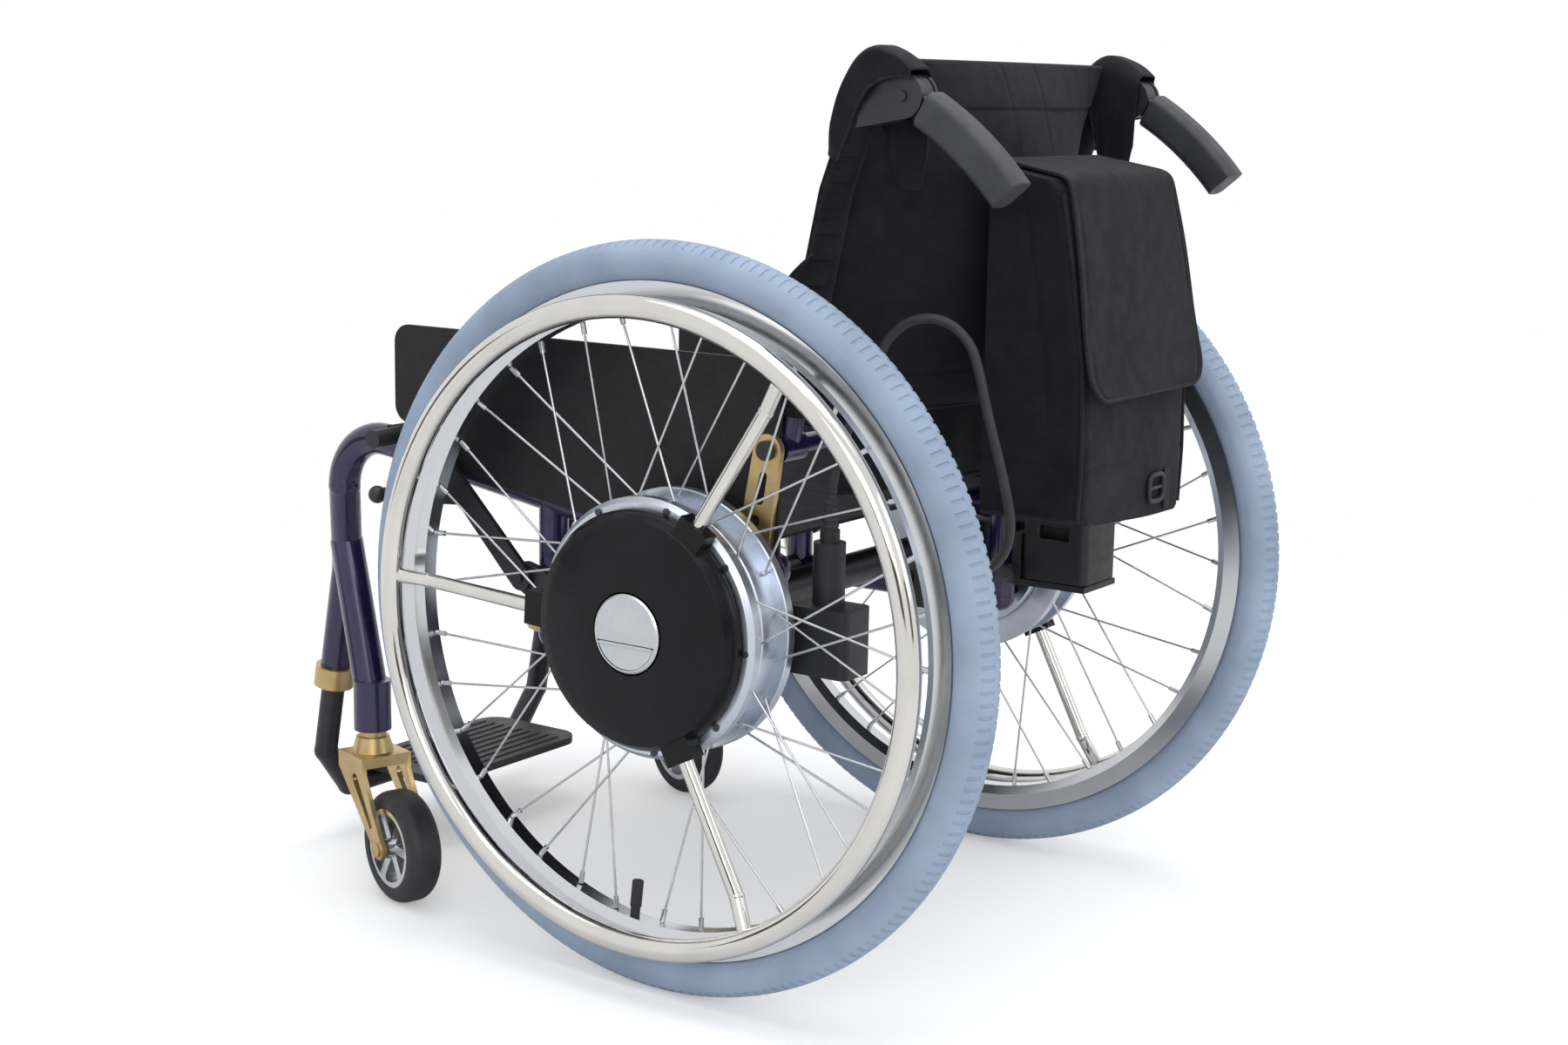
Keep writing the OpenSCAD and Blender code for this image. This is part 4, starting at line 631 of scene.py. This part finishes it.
def back_panel():
    """The padded sheet between the canes. Across runs from cane to cane and up from hem to top; its middle sags
    back as a parabola across, deepest low down. Seams are bell-shaped grooves, the top band is raised, and shallow
    waves pull in towards the sleeves."""
    across = np.linspace(-1, 1, 131)
    up = np.concatenate([np.linspace(0, 0.86, 105), np.linspace(0.862, 1, 42)])[:, None]
    z = PAD_LOW + up * (PAD_HIGH - PAD_LOW)
    y = across * PAD_HALF
    sag = sag_depth(up) * (1 - across**2)
    thick = PAD_EDGE + PAD_FILL * (1 - across**6) * (1 - (2 * up - 1) ** 8)
    top_band = smooth_step(z, BAND_SEAM_Z - 1, BAND_SEAM_Z + 2)
    side_seam = ridge(np.abs(across), SIDE_SEAM, 0.011)
    seams = 1.3 * ridge(z, BAND_SEAM_Z, 1.6) + side_seam + ridge(z, LOW_SEAM_Z, 1.8)
    seams = seams + ridge(np.abs(y), MIDDLE_SEAM_Y, 1.5) * smooth_step(z, 600, 620)
    pull = 0.9 * np.sin(z / 9.5 + 3 * np.sign(y)) * smooth_step(np.abs(across), 0.72, 0.98)
    fold = 0.8 * np.sin(y / 23 + 2.1 * np.sin(z / 41)) * np.sin(z / 34 + y / 90)
    rear = cane_x(z) - sag - thick / 2 - BAND_RISE * top_band + seams + (pull + fold) * (1 - top_band)
    rear_limit = BAG_FRONT + 0.9
    rear = np.maximum(rear, rear_limit)
    channel = CHANNEL_DEPTH * ridge((z - 520) % CHANNEL_STEP, CHANNEL_STEP / 2, 3.0)
    channel = channel * (1 - smooth_step(np.abs(across), 0.7, 0.8))
    front = cane_x(z) - sag + thick / 2 - channel - 0.8 * side_seam
    loop = np.concatenate([front, rear[:, ::-1], front[:, :1]], 1)
    y_loop = np.broadcast_to(np.concatenate([y, y[::-1], y[:1]]), loop.shape)
    g = grid(loop, y_loop, np.broadcast_to(z, loop.shape))
    held = (np.abs(y_loop) > 0.95 * PAD_HALF) | (up < 0.02) | (up > 0.98)
    g = swollen(g, held, cap=5)
    g[..., 0] = np.maximum(g[..., 0], rear_limit)
    middle = (front + rear) / 2
    closing = []
    for row, lift in ((0, -1.2), (-1, 1.2)):
        flat = np.concatenate([middle[row], middle[row][::-1], middle[row][:1]])
        closing.append(grid(flat, y_loop[row], g[row, :, 2] + lift)[None])
    g = np.concatenate([closing[0], g, closing[1]])
    panel = make("back_panel", [g], "backrest", "black_nylon", ("back_upholstery",), crease=60)
    hem_y = np.linspace(-PAD_HALF + 3, PAD_HALF - 3, 60)
    hems = []
    for height, z_hem, radius in ((0, PAD_LOW, 2.6), (1, PAD_HIGH, 2.4)):
        bow = sag_depth(height) * (1 - (hem_y / PAD_HALF) ** 2)
        path = grid(cane_x(z_hem) - bow, hem_y, z_hem)
        hems.append(piping(path, radius, (0, 0, 1), 12))
    binding("back_panel_hems", hems)


CANE_ALONG = (1, 0, 0.2)
TAB_HEIGHTS = np.linspace(566, 686, 7)


def back_sleeve(side, out):
    """A sleeve round the cane, from above the pivot up into the hood: a circle carried along the cane's two runs,
    gathered in small even ripples, with a piped seam along its outer front and flat loops laid on its outer
    face, each an arc about the cane."""
    z = np.concatenate([np.linspace(SLEEVE_LOW, BEND_Z - 9, 110), np.linspace(BEND_Z - 7, BEND_Z + 7, 8),
                        np.linspace(BEND_Z + 9, SLEEVE_TOP, 34)])
    path = grid(cane_x(z), out * CANE_Y, z)
    turn = np.linspace(0, 2 * np.pi, 49)
    radius = SLEEVE_R + 0.5 * np.sin(z / 3.6)[:, None] * (0.5 + 0.5 * np.cos(turn - 0.5))
    tube = swept(path, np.stack([radius * np.cos(turn), radius * np.sin(turn)], -1), CANE_ALONG)
    seam = piping(path + np.array([8.2, out * 10.0, 0]), 1.6, CANE_ALONG)
    make(side + "_back_sleeve", [capped(tube), seam], "backrest", "black_nylon", crease=60)
    bow, lie = np.radians(np.linspace(-25, 60, 14)), SLEEVE_R + 0.6
    tabs = []
    for height in TAB_HEIGHTS:
        line = grid(cane_x(height) - lie * np.sin(bow), out * (CANE_Y + lie * np.cos(bow)), height)
        tabs.append(capped(swept(line, band(0.5, 5), (0, 0, 1))))
    make(side + "_sleeve_tabs", tabs, "backrest", "black_nylon", crease=40)


HOOD_SPINE = [(-107, 683), (-117.6, 724), (-130, 748), (-141, 760), (-154, 764.5), (-167, 761.5),
              (-178, 755.5), (-187, 748)]
HOOD_OUTER = [(-122, 677), (-137, 713), (-150, 731), (-157, 737), (-163, 739), (-172, 741), (-180, 741),
              (-186, 740)]
HOOD_INNER = [(-122, 677), (-136, 704), (-145, 700), (-150, 680), (-157, 662), (-168, 656), (-178, 660),
              (-184, 686)]
HOOD_HALF, HOOD_ROOT, HOOD_THICK, HOOD_CROWN, HOOD_TURN = 17.5, 14.2, 1.5, 0.12, 0.42


def handle_hood(side, out):
    """A cloth hood over the cane top and the handle bracket. Its spine runs from the cane's front over the top and
    down behind the bracket. From each spine point one skirt falls to the outer edge, which arches over the bolts,
    and one to the inner edge, which hangs long behind the sleeve. At the root the section is a half circle;
    further on the cloth goes a quarter turn of an ellipse sideways, then straight down."""
    spine, outer, inner = (eased_path([(x, 0, z) for x, z in line], 7)
                           for line in (HOOD_SPINE, HOOD_OUTER, HOOD_INNER))
    far = np.linspace(0, 1, len(spine))[:, None]
    wide = np.linspace(-1, 1, 81)
    away = np.abs(wide)
    quarter = away * np.pi / 2
    loose = smooth_step(far, 0.0, 0.09)
    fall = (np.clip(away - HOOD_CROWN, 0, 1) / (1 - HOOD_CROWN)) ** 1.5
    share = loose * fall + (1 - loose) * (1 - np.cos(quarter))
    reach = loose * np.sin(np.minimum(away / HOOD_TURN, 1) * np.pi / 2) + (1 - loose) * np.sin(quarter)
    reach = np.sign(wide) * reach
    edge = np.where((wide > 0)[None, :, None], outer[:, None], inner[:, None])
    sheet = spine[:, None] + (edge - spine[:, None]) * share[..., None]
    half = HOOD_ROOT + (HOOD_HALF - HOOD_ROOT) * smooth_step(far, 0, 0.3)
    wave = (0.9 * np.sin(far * 21 + 2) + 0.5 * np.sin(far * 47)) * share + 0.5 * np.sin(far * 15 + wide * 4)
    wave = wave * smooth_step(far, 0, 0.15)
    layers = []
    for thick in (0.0, -HOOD_THICK):
        points = sheet.copy()
        points[..., 1] = out * (CANE_Y + (half + thick) * reach + wave * np.sign(wide) * share)
        points[..., 2] += thick * (1 - share) + 0.5 * wave * (1 - share)
        layers.append(points)
    hood, middle = cloth_sheet(side + "_handle_hood", layers)
    hem = binding(side + "_hood_hem", [piping(even_path(middle[:, -1], 90), 1.3, (0, 1, 0.1))])


WING_EDGE = [(-103, 0, 606), (-84, 0, 590), (-62, 0, 565), (-50, 0, 540), (-44, 0, 515), (-42, 0, 488)]
WING_Y, WING_THICK = 202.4, 0.9


def side_wing(side, out):
    """A flat cloth wing ahead of the cane, sewn to the sleeve: its free edge is a smooth falling curve, and each
    row runs straight from the sleeve to that edge."""
    edge = eased_path(WING_EDGE, 8)
    root = grid(cane_x(edge[:, 2]) + 2, 0.0, edge[:, 2])
    share = np.linspace(0, 1, 14)[None, :, None]
    rows = root[:, None] + (edge - root)[:, None] * share
    billow = 1.6 * np.sin(np.pi * share[..., 0]) * np.sin(edge[:, 2] / 13)[:, None]
    layers = [grid(rows[..., 0], out * (WING_Y + thick + billow), rows[..., 2])
              for thick in (WING_THICK, -WING_THICK)]
    wing, middle = cloth_sheet(side + "_side_wing", layers)
    rim = edge + (0, out * WING_Y, 0)
    trim = binding(side + "_wing_edge", [piping(rim, 1.9, (0, 1, 0), 12)])


VALANCE_TOP, VALANCE_LOW, VALANCE_WIDE = PAD_LOW + 3, 412, 0.835


def back_valance():
    """A cloth skirt that hangs from the panel's lower hem. Each row is a parabola across, as the hem is, and soft
    upright folds grow towards its free edge."""
    z = np.linspace(VALANCE_TOP, VALANCE_LOW, 34)[:, None]
    across = np.linspace(-VALANCE_WIDE, VALANCE_WIDE, 91)
    down = (VALANCE_TOP - z) / (VALANCE_TOP - VALANCE_LOW)
    bow = sag_depth(0) * (1 - across**2) * (1 - 0.12 * down)
    fold = 2.2 * down * np.sin(across * 17 + 0.6 * np.sin(across * 5))
    middle_x = cane_x(PAD_LOW) - bow + fold
    layers = [grid(middle_x + thick, across * PAD_HALF, z - 5 * down * across**2) for thick in (-0.8, 0.8)]
    valance, middle = cloth_sheet("back_valance", layers)
    hem = binding("valance_hem", [piping(middle[-1], 1.7, (0, 0, 1))])


back_panel()
back_valance()
for side, out in SIDES:
    back_sleeve(side, out)
    handle_hood(side, out)
    side_wing(side, out)


# Bag and flap

BAG_CORNER, BAG_FLOOR_SHARE, PIPE_R = 13.0, 0.55, 1.8
BASE_TILT, BASE_LIFT, BASE_SAG, TILT_END = 4.5, 1.5, 2.5, 470
BAG_BAND_Z, BAG_HELD_Z = 441, 640
BAG_BACK_Z = [391, 440, 520, 600, 658, 666, 676]
BAG_BACK_X = [-284.5, -286.2, -284.2, -272, -261, -253, -196.5]
BUCKLE_Y, BUCKLE_Z, BUCKLE_HALF_Y, BUCKLE_HALF_Z = -36.0, 412.0, 13, 11


def bag_rear(z):
    """The bag's back line: from the base up over the belly to the chamfered top edge and in along the top."""
    return np.interp(z, BAG_BACK_Z, BAG_BACK_X)


def near_base(z):
    """1 at the bag's base and 0 above the height where its tilt ends."""
    return 1 - smooth_step(z, BAG_BASE, TILT_END)


def bag_shell():
    """The bag is lofted upward: each level is a rectangle with rounded corners, from the back sling to the bag's
    back line. Its side panels sink a little between their seams, its base tilts and sags, a band is sewn on low
    down, and soft folds run over all of it."""
    level = np.concatenate([np.linspace(0, 6, 7), np.linspace(9, 255, 110), np.linspace(256, 285, 42)])
    quarter = np.linspace(0, np.pi / 2, 14)
    side_run, rear_run = np.linspace(0, 1, 40)[1:-1], np.linspace(-1, 1, 70)[1:-1]
    z0 = (level + BAG_BASE)[:, None]
    rear = bag_rear(z0)
    deep = BAG_FRONT - rear
    r = np.minimum(BAG_CORNER, 0.45 * deep)
    grow = np.sqrt(np.clip((z0 - BAG_BASE + 1.5) / 9, 0, 1))
    half = BAG_HALF - 7 * (1 - grow)
    front = np.full_like(rear, BAG_FRONT)
    side_x = front - (deep - r) * side_run
    arc_x = front - (deep - r) - r * np.sin(quarter)
    arc_y = half - r * (1 - np.cos(quarter))
    x = np.concatenate([front, side_x, arc_x, rear + 0 * rear_run, arc_x[:, ::-1], side_x[:, ::-1], front], 1)
    side_y = half + 0 * side_x
    y = np.concatenate([half, side_y, arc_y, -(half - r) * rear_run, -arc_y[:, ::-1], -side_y, -half], 1)
    z = z0 + 0 * x
    low = near_base(z)
    z = z + low * (BASE_LIFT + BASE_TILT * y / BAG_HALF) - BASE_SAG * low * (1 - (y / BAG_HALF) ** 2)
    on_side = smooth_step(np.abs(y), BAG_HALF - 8, BAG_HALF - 3)
    forward = np.clip((BAG_FRONT - x) / np.maximum(deep, 1), 0, 1)
    sink = 5.5 * on_side * np.sin(np.pi * forward)
    sink = sink * smooth_step(z, 400, 440) * (1 - smooth_step(z, 630, 668))
    crease = 2.2 * on_side * ridge(forward, 0.42 + 0.2 * (z - 640) / -170, 0.05) * smooth_step(z, 455, 480)
    fold = 1.1 * np.sin(z / 27 + y / 35) * np.sin(y / 30 - z / 61) + 0.6 * np.sin(z / 9 + x / 15) * low
    y = y - np.sign(y) * (sink + crease - 0.6 * on_side * fold)
    at_rear = 1 - smooth_step(x, rear + 2, rear + 12)
    seam = 1.2 * ridge(z, BAG_BAND_Z, 1.6)
    x = x + at_rear * (seam + fold * (1 - smooth_step(z, BAG_HELD_Z, BAG_HELD_Z + 20)) + 0.8)
    y = y - np.sign(y) * on_side * seam
    g = grid(np.minimum(x, BAG_FRONT), y, z)
    g = np.concatenate([g, g[:, :1]], 1)
    held = (g[..., 0] > BAG_FRONT - 2) | (g[..., 2] > BAG_HELD_Z)
    limit = bag_rear(g[..., 2]) + 0.5 - 4 * (1 - smooth_step(g[..., 2], 455, 492))
    g = swollen(g, held, cap=6)
    g[..., 0] = np.clip(g[..., 0], limit, BAG_FRONT)
    under = np.array([BAG_FRONT - 45, 0, 0])
    floor_ring = under + (g[0] - under) * (BAG_FLOOR_SHARE, BAG_FLOOR_SHARE, 1) - (0, 0, 0.6)
    point, lid = (np.broadcast_to(line.mean(0), line.shape) for line in (floor_ring, g[-1]))
    shell = np.concatenate([point[None], floor_ring[None], g, lid[None]])
    bag = make("bag_shell", [shell], "backrest", "black_nylon", ("bag",), crease=55)
    return g


def bag_piping():
    """Piped seams of the bag: one up each rear corner, on the bag's back line, and one round the base."""
    pipes = []
    height = np.linspace(396, 655, 80)
    for sign in (1, -1):
        line = grid(bag_rear(height) + 3.6, sign * (BAG_HALF - 3.4), height)
        line[:, 2] += near_base(height) * (BASE_LIFT + BASE_TILT * sign)
        pipes.append(piping(line, PIPE_R, (0, 1, 0)))
    start = BAG_FRONT - 2
    path = even_path([(start, BAG_HALF - 1), (-278, BAG_HALF - 1), (-284, BAG_HALF - 8),
                      (-284, 8 - BAG_HALF), (-278, 1 - BAG_HALF), (start, 1 - BAG_HALF)], 90)
    base = grid(path[:, 0] + 2, path[:, 1] * 0.985, BAG_BASE + 4.5 + BASE_TILT * path[:, 1] / BAG_HALF)
    pipes.append(piping(base, PIPE_R, (0, 0, 1)))
    binding("bag_piping", pipes)


def bag_buckle(shell):
    """A moulded buckle low on the bag's back, with a webbing tail beside it. The buckle is a rounded frame, whose
    corner is a fourth-power curve, with one bar; all lie on the bag's back at its furthest point near them."""
    back = shell.reshape(-1, 3)
    back = back[back[:, 0] < bag_rear(back[:, 2]) + 8]

    def laid(y, z, stand):
        """Points at given y and z, set out by a small stand from the furthest point of the back near them."""
        near = np.argmin((back[:, 1] - y[:, None]) ** 2 + (back[:, 2] - z[:, None]) ** 2, 1)
        return grid(back[near, 0].min() - stand, y, z)

    turn = np.linspace(0, 2 * np.pi, 65)
    round_y, round_z = (np.sign(wave) * np.abs(wave) ** 0.5 for wave in (np.cos(turn), np.sin(turn)))
    outline = laid(BUCKLE_Y + BUCKLE_HALF_Y * round_y, BUCKLE_Z + BUCKLE_HALF_Z * round_z, 1.6)
    outline = np.concatenate([outline[-2:-1], outline, outline[1:2]])
    bar = laid(np.linspace(BUCKLE_Y - 12, BUCKLE_Y + 12, 12), np.full(12, BUCKLE_Z), 1.6)
    frame_bars = [swept(outline, ring(2.2, 12), (1, 0, 0))[1:-1], piping(bar, 1.8, (1, 0, 0), 12)]
    make("bag_buckle", frame_bars, "backrest", "housing_black", crease=50)
    tail = laid(np.linspace(-56, -58, 24), np.linspace(426, 392, 24), 0.9)
    binding("buckle_webbing", [capped(swept(tail, band(5, 0.8), (1, 0, 0)))])


FLAP_SPINE = np.array([(-196.2, 679.2), (-252.6, 669.0), (-258.2, 666.8), (-261.6, 662.6), (-263.4, 656),
                       (-272.5, 606), (-283.0, 549), (-292.6, 494.6)])
FLAP_HALF_TOP, FLAP_WIDENS, FLAP_CORNER = 85, 17.5, 26
BAG_CORE_X, BAG_CORE_Z = -225, 560


def bag_flap():
    """The flap is a sheet carried from its hinge over the bag's top and down its back. It widens towards its lower
    edge, whose corners are quarter circles, and a bound edge runs round its sides and end."""
    far = distances(FLAP_SPINE)
    end = far[-1]
    along = np.concatenate([np.linspace(0, far[1] - 6, 16), np.linspace(far[1] - 5, far[4] + 6, 18),
                            np.linspace(far[4] + 8, end - FLAP_CORNER - 1, 42),
                            end - FLAP_CORNER + FLAP_CORNER * np.sin(np.linspace(0, np.pi / 2, 20))])
    x, z = (np.interp(along, far, FLAP_SPINE[:, axis]) for axis in (0, 1))
    kernel = np.array([1, 2, 3, 2, 1]) / 9
    x[2:-2], z[2:-2] = np.convolve(x, kernel, "valid"), np.convolve(z, kernel, "valid")
    share = (along / end)[:, None]
    left = np.clip(FLAP_CORNER - (end - along), 0, FLAP_CORNER)
    half = FLAP_HALF_TOP + FLAP_WIDENS * share[:, 0]
    half = half - (FLAP_CORNER - np.sqrt(np.maximum(FLAP_CORNER**2 - left**2, 0)))
    wide = np.sin(np.linspace(-1, 1, 61) * np.pi / 2)
    y = -4 * np.minimum(1, share * 2) + half[:, None] * wide
    down = unit(np.stack([np.gradient(x), np.gradient(z)], -1))
    normal = np.stack([down[:, 1], -down[:, 0]], -1)
    normal *= np.sign(normal[:, :1] * (x[:, None] - BAG_CORE_X) + normal[:, 1:] * (z[:, None] - BAG_CORE_Z))
    ripple = np.sin(y / 31 + 1.3) * np.sin(share * 9)
    flare = 10 * np.maximum(share - 0.75, 0) * np.abs(wide) ** 3
    stitch = 0.9 * ridge(np.abs(wide), 0.93, 0.02)
    soft = np.maximum(ripple + flare - stitch, -0.3)
    layers = [grid(x[:, None] + normal[:, :1] * reach, y, z[:, None] + normal[:, 1:] * reach)
              for reach in (soft + 1.5, 0.9 * soft - 1.1)]
    flap, middle = cloth_sheet("bag_flap_sheet", layers, "flap", ("bag_flap",))
    rim = even_path(np.concatenate([middle[6:, 0], middle[-1, 1:-1], middle[6:, -1][::-1]]), 220)
    hem = binding("flap_binding", [piping(rim, 1.7, (0.95, 0, 0.2))], "flap")


shell_grid = bag_shell()
bag_piping()
bag_buckle(shell_grid)
bag_flap()


# Seat sling

SEAT_SLOPE = math.radians(8.5)
SEAT_REAR, SEAT_LENGTH, SEAT_HALF, SEAT_TOP, SEAT_UNDER = -40, 400, 202.8, 17.4, 14.6
SEAT_DIP, DIP_HALF, DIP_LENGTH, HEM_INSET = 9, 188, 340, 14
RAIL_X, RAIL_Z = 170, 383


def seat_sling():
    """A sheet stretched over both seat rails. On the rails it is straight, between them it dips as a parabola, and
    a stitched groove runs along its front and rear hems."""
    rail = RAIL_Z + (SEAT_REAR - RAIL_X) * math.tan(SEAT_SLOPE)
    along = np.linspace(0, SEAT_LENGTH, 61)[:, None]
    y = np.linspace(-SEAT_HALF, SEAT_HALF, 71)
    inner = np.clip(1 - (y / DIP_HALF) ** 2, 0, 1)
    dip = SEAT_DIP * inner * np.sin(np.pi * np.clip(along / DIP_LENGTH, 0, 1)) ** 0.8
    hem = 0.5 * (ridge(along, HEM_INSET, 3) + ridge(along, SEAT_LENGTH - HEM_INSET, 3))
    layers = [grid(SEAT_REAR + along * math.cos(SEAT_SLOPE) - h * math.sin(SEAT_SLOPE), y,
                   rail + along * math.sin(SEAT_SLOPE) + h * math.cos(SEAT_SLOPE))
              for h in (SEAT_TOP - dip - hem, SEAT_UNDER - dip)]
    sling, _ = cloth_sheet("seat_sling_cloth", layers, "frame", ("seat_sling",))


seat_sling()


# Studio

WHITE = (1, 1, 1, 1)
WORLD_TINT, WORLD_LEVEL = (0.95, 0.97, 1.0, 1), 0.55
LAMP_AIM = np.array([0, 0, 0.4])
LAMPS = {
    "top_softbox": dict(place=(-0.3, 0.2, 2.6), size=2.4, power=34),
    "left_softbox": dict(place=(-1.6, 2.6, 1.6), size=1.6, power=22),
    "rear_softbox": dict(place=(-2.8, -0.6, 1.5), size=1.4, power=12),
}
FLOOR_TONE, FLOOR_GLOW, FLOOR_FADE = (0.93, 0.93, 0.93, 1), 0.3, (0.7, 1.9)
FLOOR_REACH, FLOOR_Z = 6000, -0.4
CARD_TONE = (0.14, 0.125, 0.11, 1)


def soft_lamp(name, place, size, power):
    """A square soft lamp that looks at the chair's middle."""
    lamp = bpy.data.lights.new(name, "AREA")
    lamp.size = size
    lamp.energy = power
    obj = shown(name, lamp)
    obj.location = place
    obj.rotation_euler = Vector(LAMP_AIM - np.array(place)).to_track_quat("-Z", "Y").to_euler()


def studio():
    """Soft light from above, and a world that looks white but lights the chair evenly."""
    scene = bpy.context.scene
    scene.view_settings.view_transform = "Standard"
    scene.world = bpy.data.worlds.new("studio_world")
    scene.world.use_nodes = True
    tree = scene.world.node_tree
    tree.nodes.clear()
    seen, lit = tree.nodes.new("ShaderNodeBackground"), tree.nodes.new("ShaderNodeBackground")
    seen.inputs["Color"].default_value = WHITE
    lit.inputs["Color"].default_value = WORLD_TINT
    lit.inputs["Strength"].default_value = WORLD_LEVEL
    rays, mixed = tree.nodes.new("ShaderNodeLightPath"), tree.nodes.new("ShaderNodeMixShader")
    direct = math_node(tree, "MAXIMUM", rays.outputs["Is Camera Ray"], rays.outputs["Is Glossy Ray"])
    direct = math_node(tree, "MAXIMUM", direct, rays.outputs["Is Transmission Ray"])
    outlet = tree.nodes.new("ShaderNodeOutputWorld")
    link_all(tree, (direct, mixed.inputs[0]), (lit.outputs[0], mixed.inputs[1]),
             (seen.outputs[0], mixed.inputs[2]), (mixed.outputs[0], outlet.inputs["Surface"]))
    for name, values in LAMPS.items():
        soft_lamp(name, **values)


def plain_look(name, tone, rough):
    """A plain material of the studio; returns it with its node tree and its shader."""
    look = bpy.data.materials.new(name)
    look.use_nodes = True
    shader = look.node_tree.nodes["Principled BSDF"]
    shader.inputs["Base Color"].default_value = tone
    shader.inputs["Roughness"].default_value = rough
    return look, look.node_tree, shader


def staged(name, points, quads, look):
    """A piece of the studio, from points in metres."""
    mesh = new_mesh(name, points.reshape(-1, 3), quads.tolist())
    mesh.update()
    mesh.materials.append(look)
    obj = shown(name, mesh)
    return obj


def floor():
    """A round floor in rings: flat, pale, and fading out of sight far from the chair."""
    turn = np.linspace(0, 2 * np.pi, 97)[None, :]
    reach = np.linspace(0, FLOOR_REACH, 31)[:, None]
    g = grid(reach * np.cos(turn), reach * np.sin(turn), FLOOR_Z)
    look, tree, shader = plain_look("pale_floor", FLOOR_TONE, 0.7)
    place = tree.nodes.new("ShaderNodeTexCoord")
    size = tree.nodes.new("ShaderNodeVectorMath")
    size.operation = "LENGTH"
    fade = tree.nodes.new("ShaderNodeMapRange")
    for label, value in zip(("From Min", "From Max", "To Min", "To Max"), (*FLOOR_FADE, 1.0, 0.0)):
        fade.inputs[label].default_value = value
    shader.inputs["Emission Color"].default_value = WHITE
    rays = tree.nodes.new("ShaderNodeLightPath")
    glow = math_node(tree, "MULTIPLY", rays.outputs["Is Camera Ray"], FLOOR_GLOW)
    link_all(tree, (place.outputs["Object"], size.inputs[0]), (size.outputs["Value"], fade.inputs["Value"]),
             (fade.outputs[0], shader.inputs["Alpha"]), (glow, shader.inputs["Emission Strength"]))
    staged("studio_floor", chair(g), grid_quads(*g.shape[:2])[:, ::-1], look)


def dark_card(name, middle, half_width, low, high):
    """A dark upright card that only mirror finishes show, so that chrome gets darker streaks: a flat strip square
    to the line from the chair to its middle."""
    toward = unit(np.array(middle))
    along = np.linspace(-half_width, half_width, 5)[None, :]
    z = np.linspace(low, high, 3)[:, None]
    g = grid(middle[0] - toward[1] * along, middle[1] + toward[0] * along, z)
    look, _, _ = plain_look(name, CARD_TONE, 0.9)
    card = staged(name, g, grid_quads(*g.shape[:2]), look)
    card.visible_camera = card.visible_diffuse = card.visible_shadow = card.visible_transmission = False


studio()
floor()
dark_card("left_card", (-1.4, 3.6), 0.7, 0.1, 1.5)
dark_card("rear_card", (-3.6, 0.9), 0.5, 0.2, 1.2)
dark_card("front_card", (2.9, 2.2), 0.5, 0.0, 1.0)
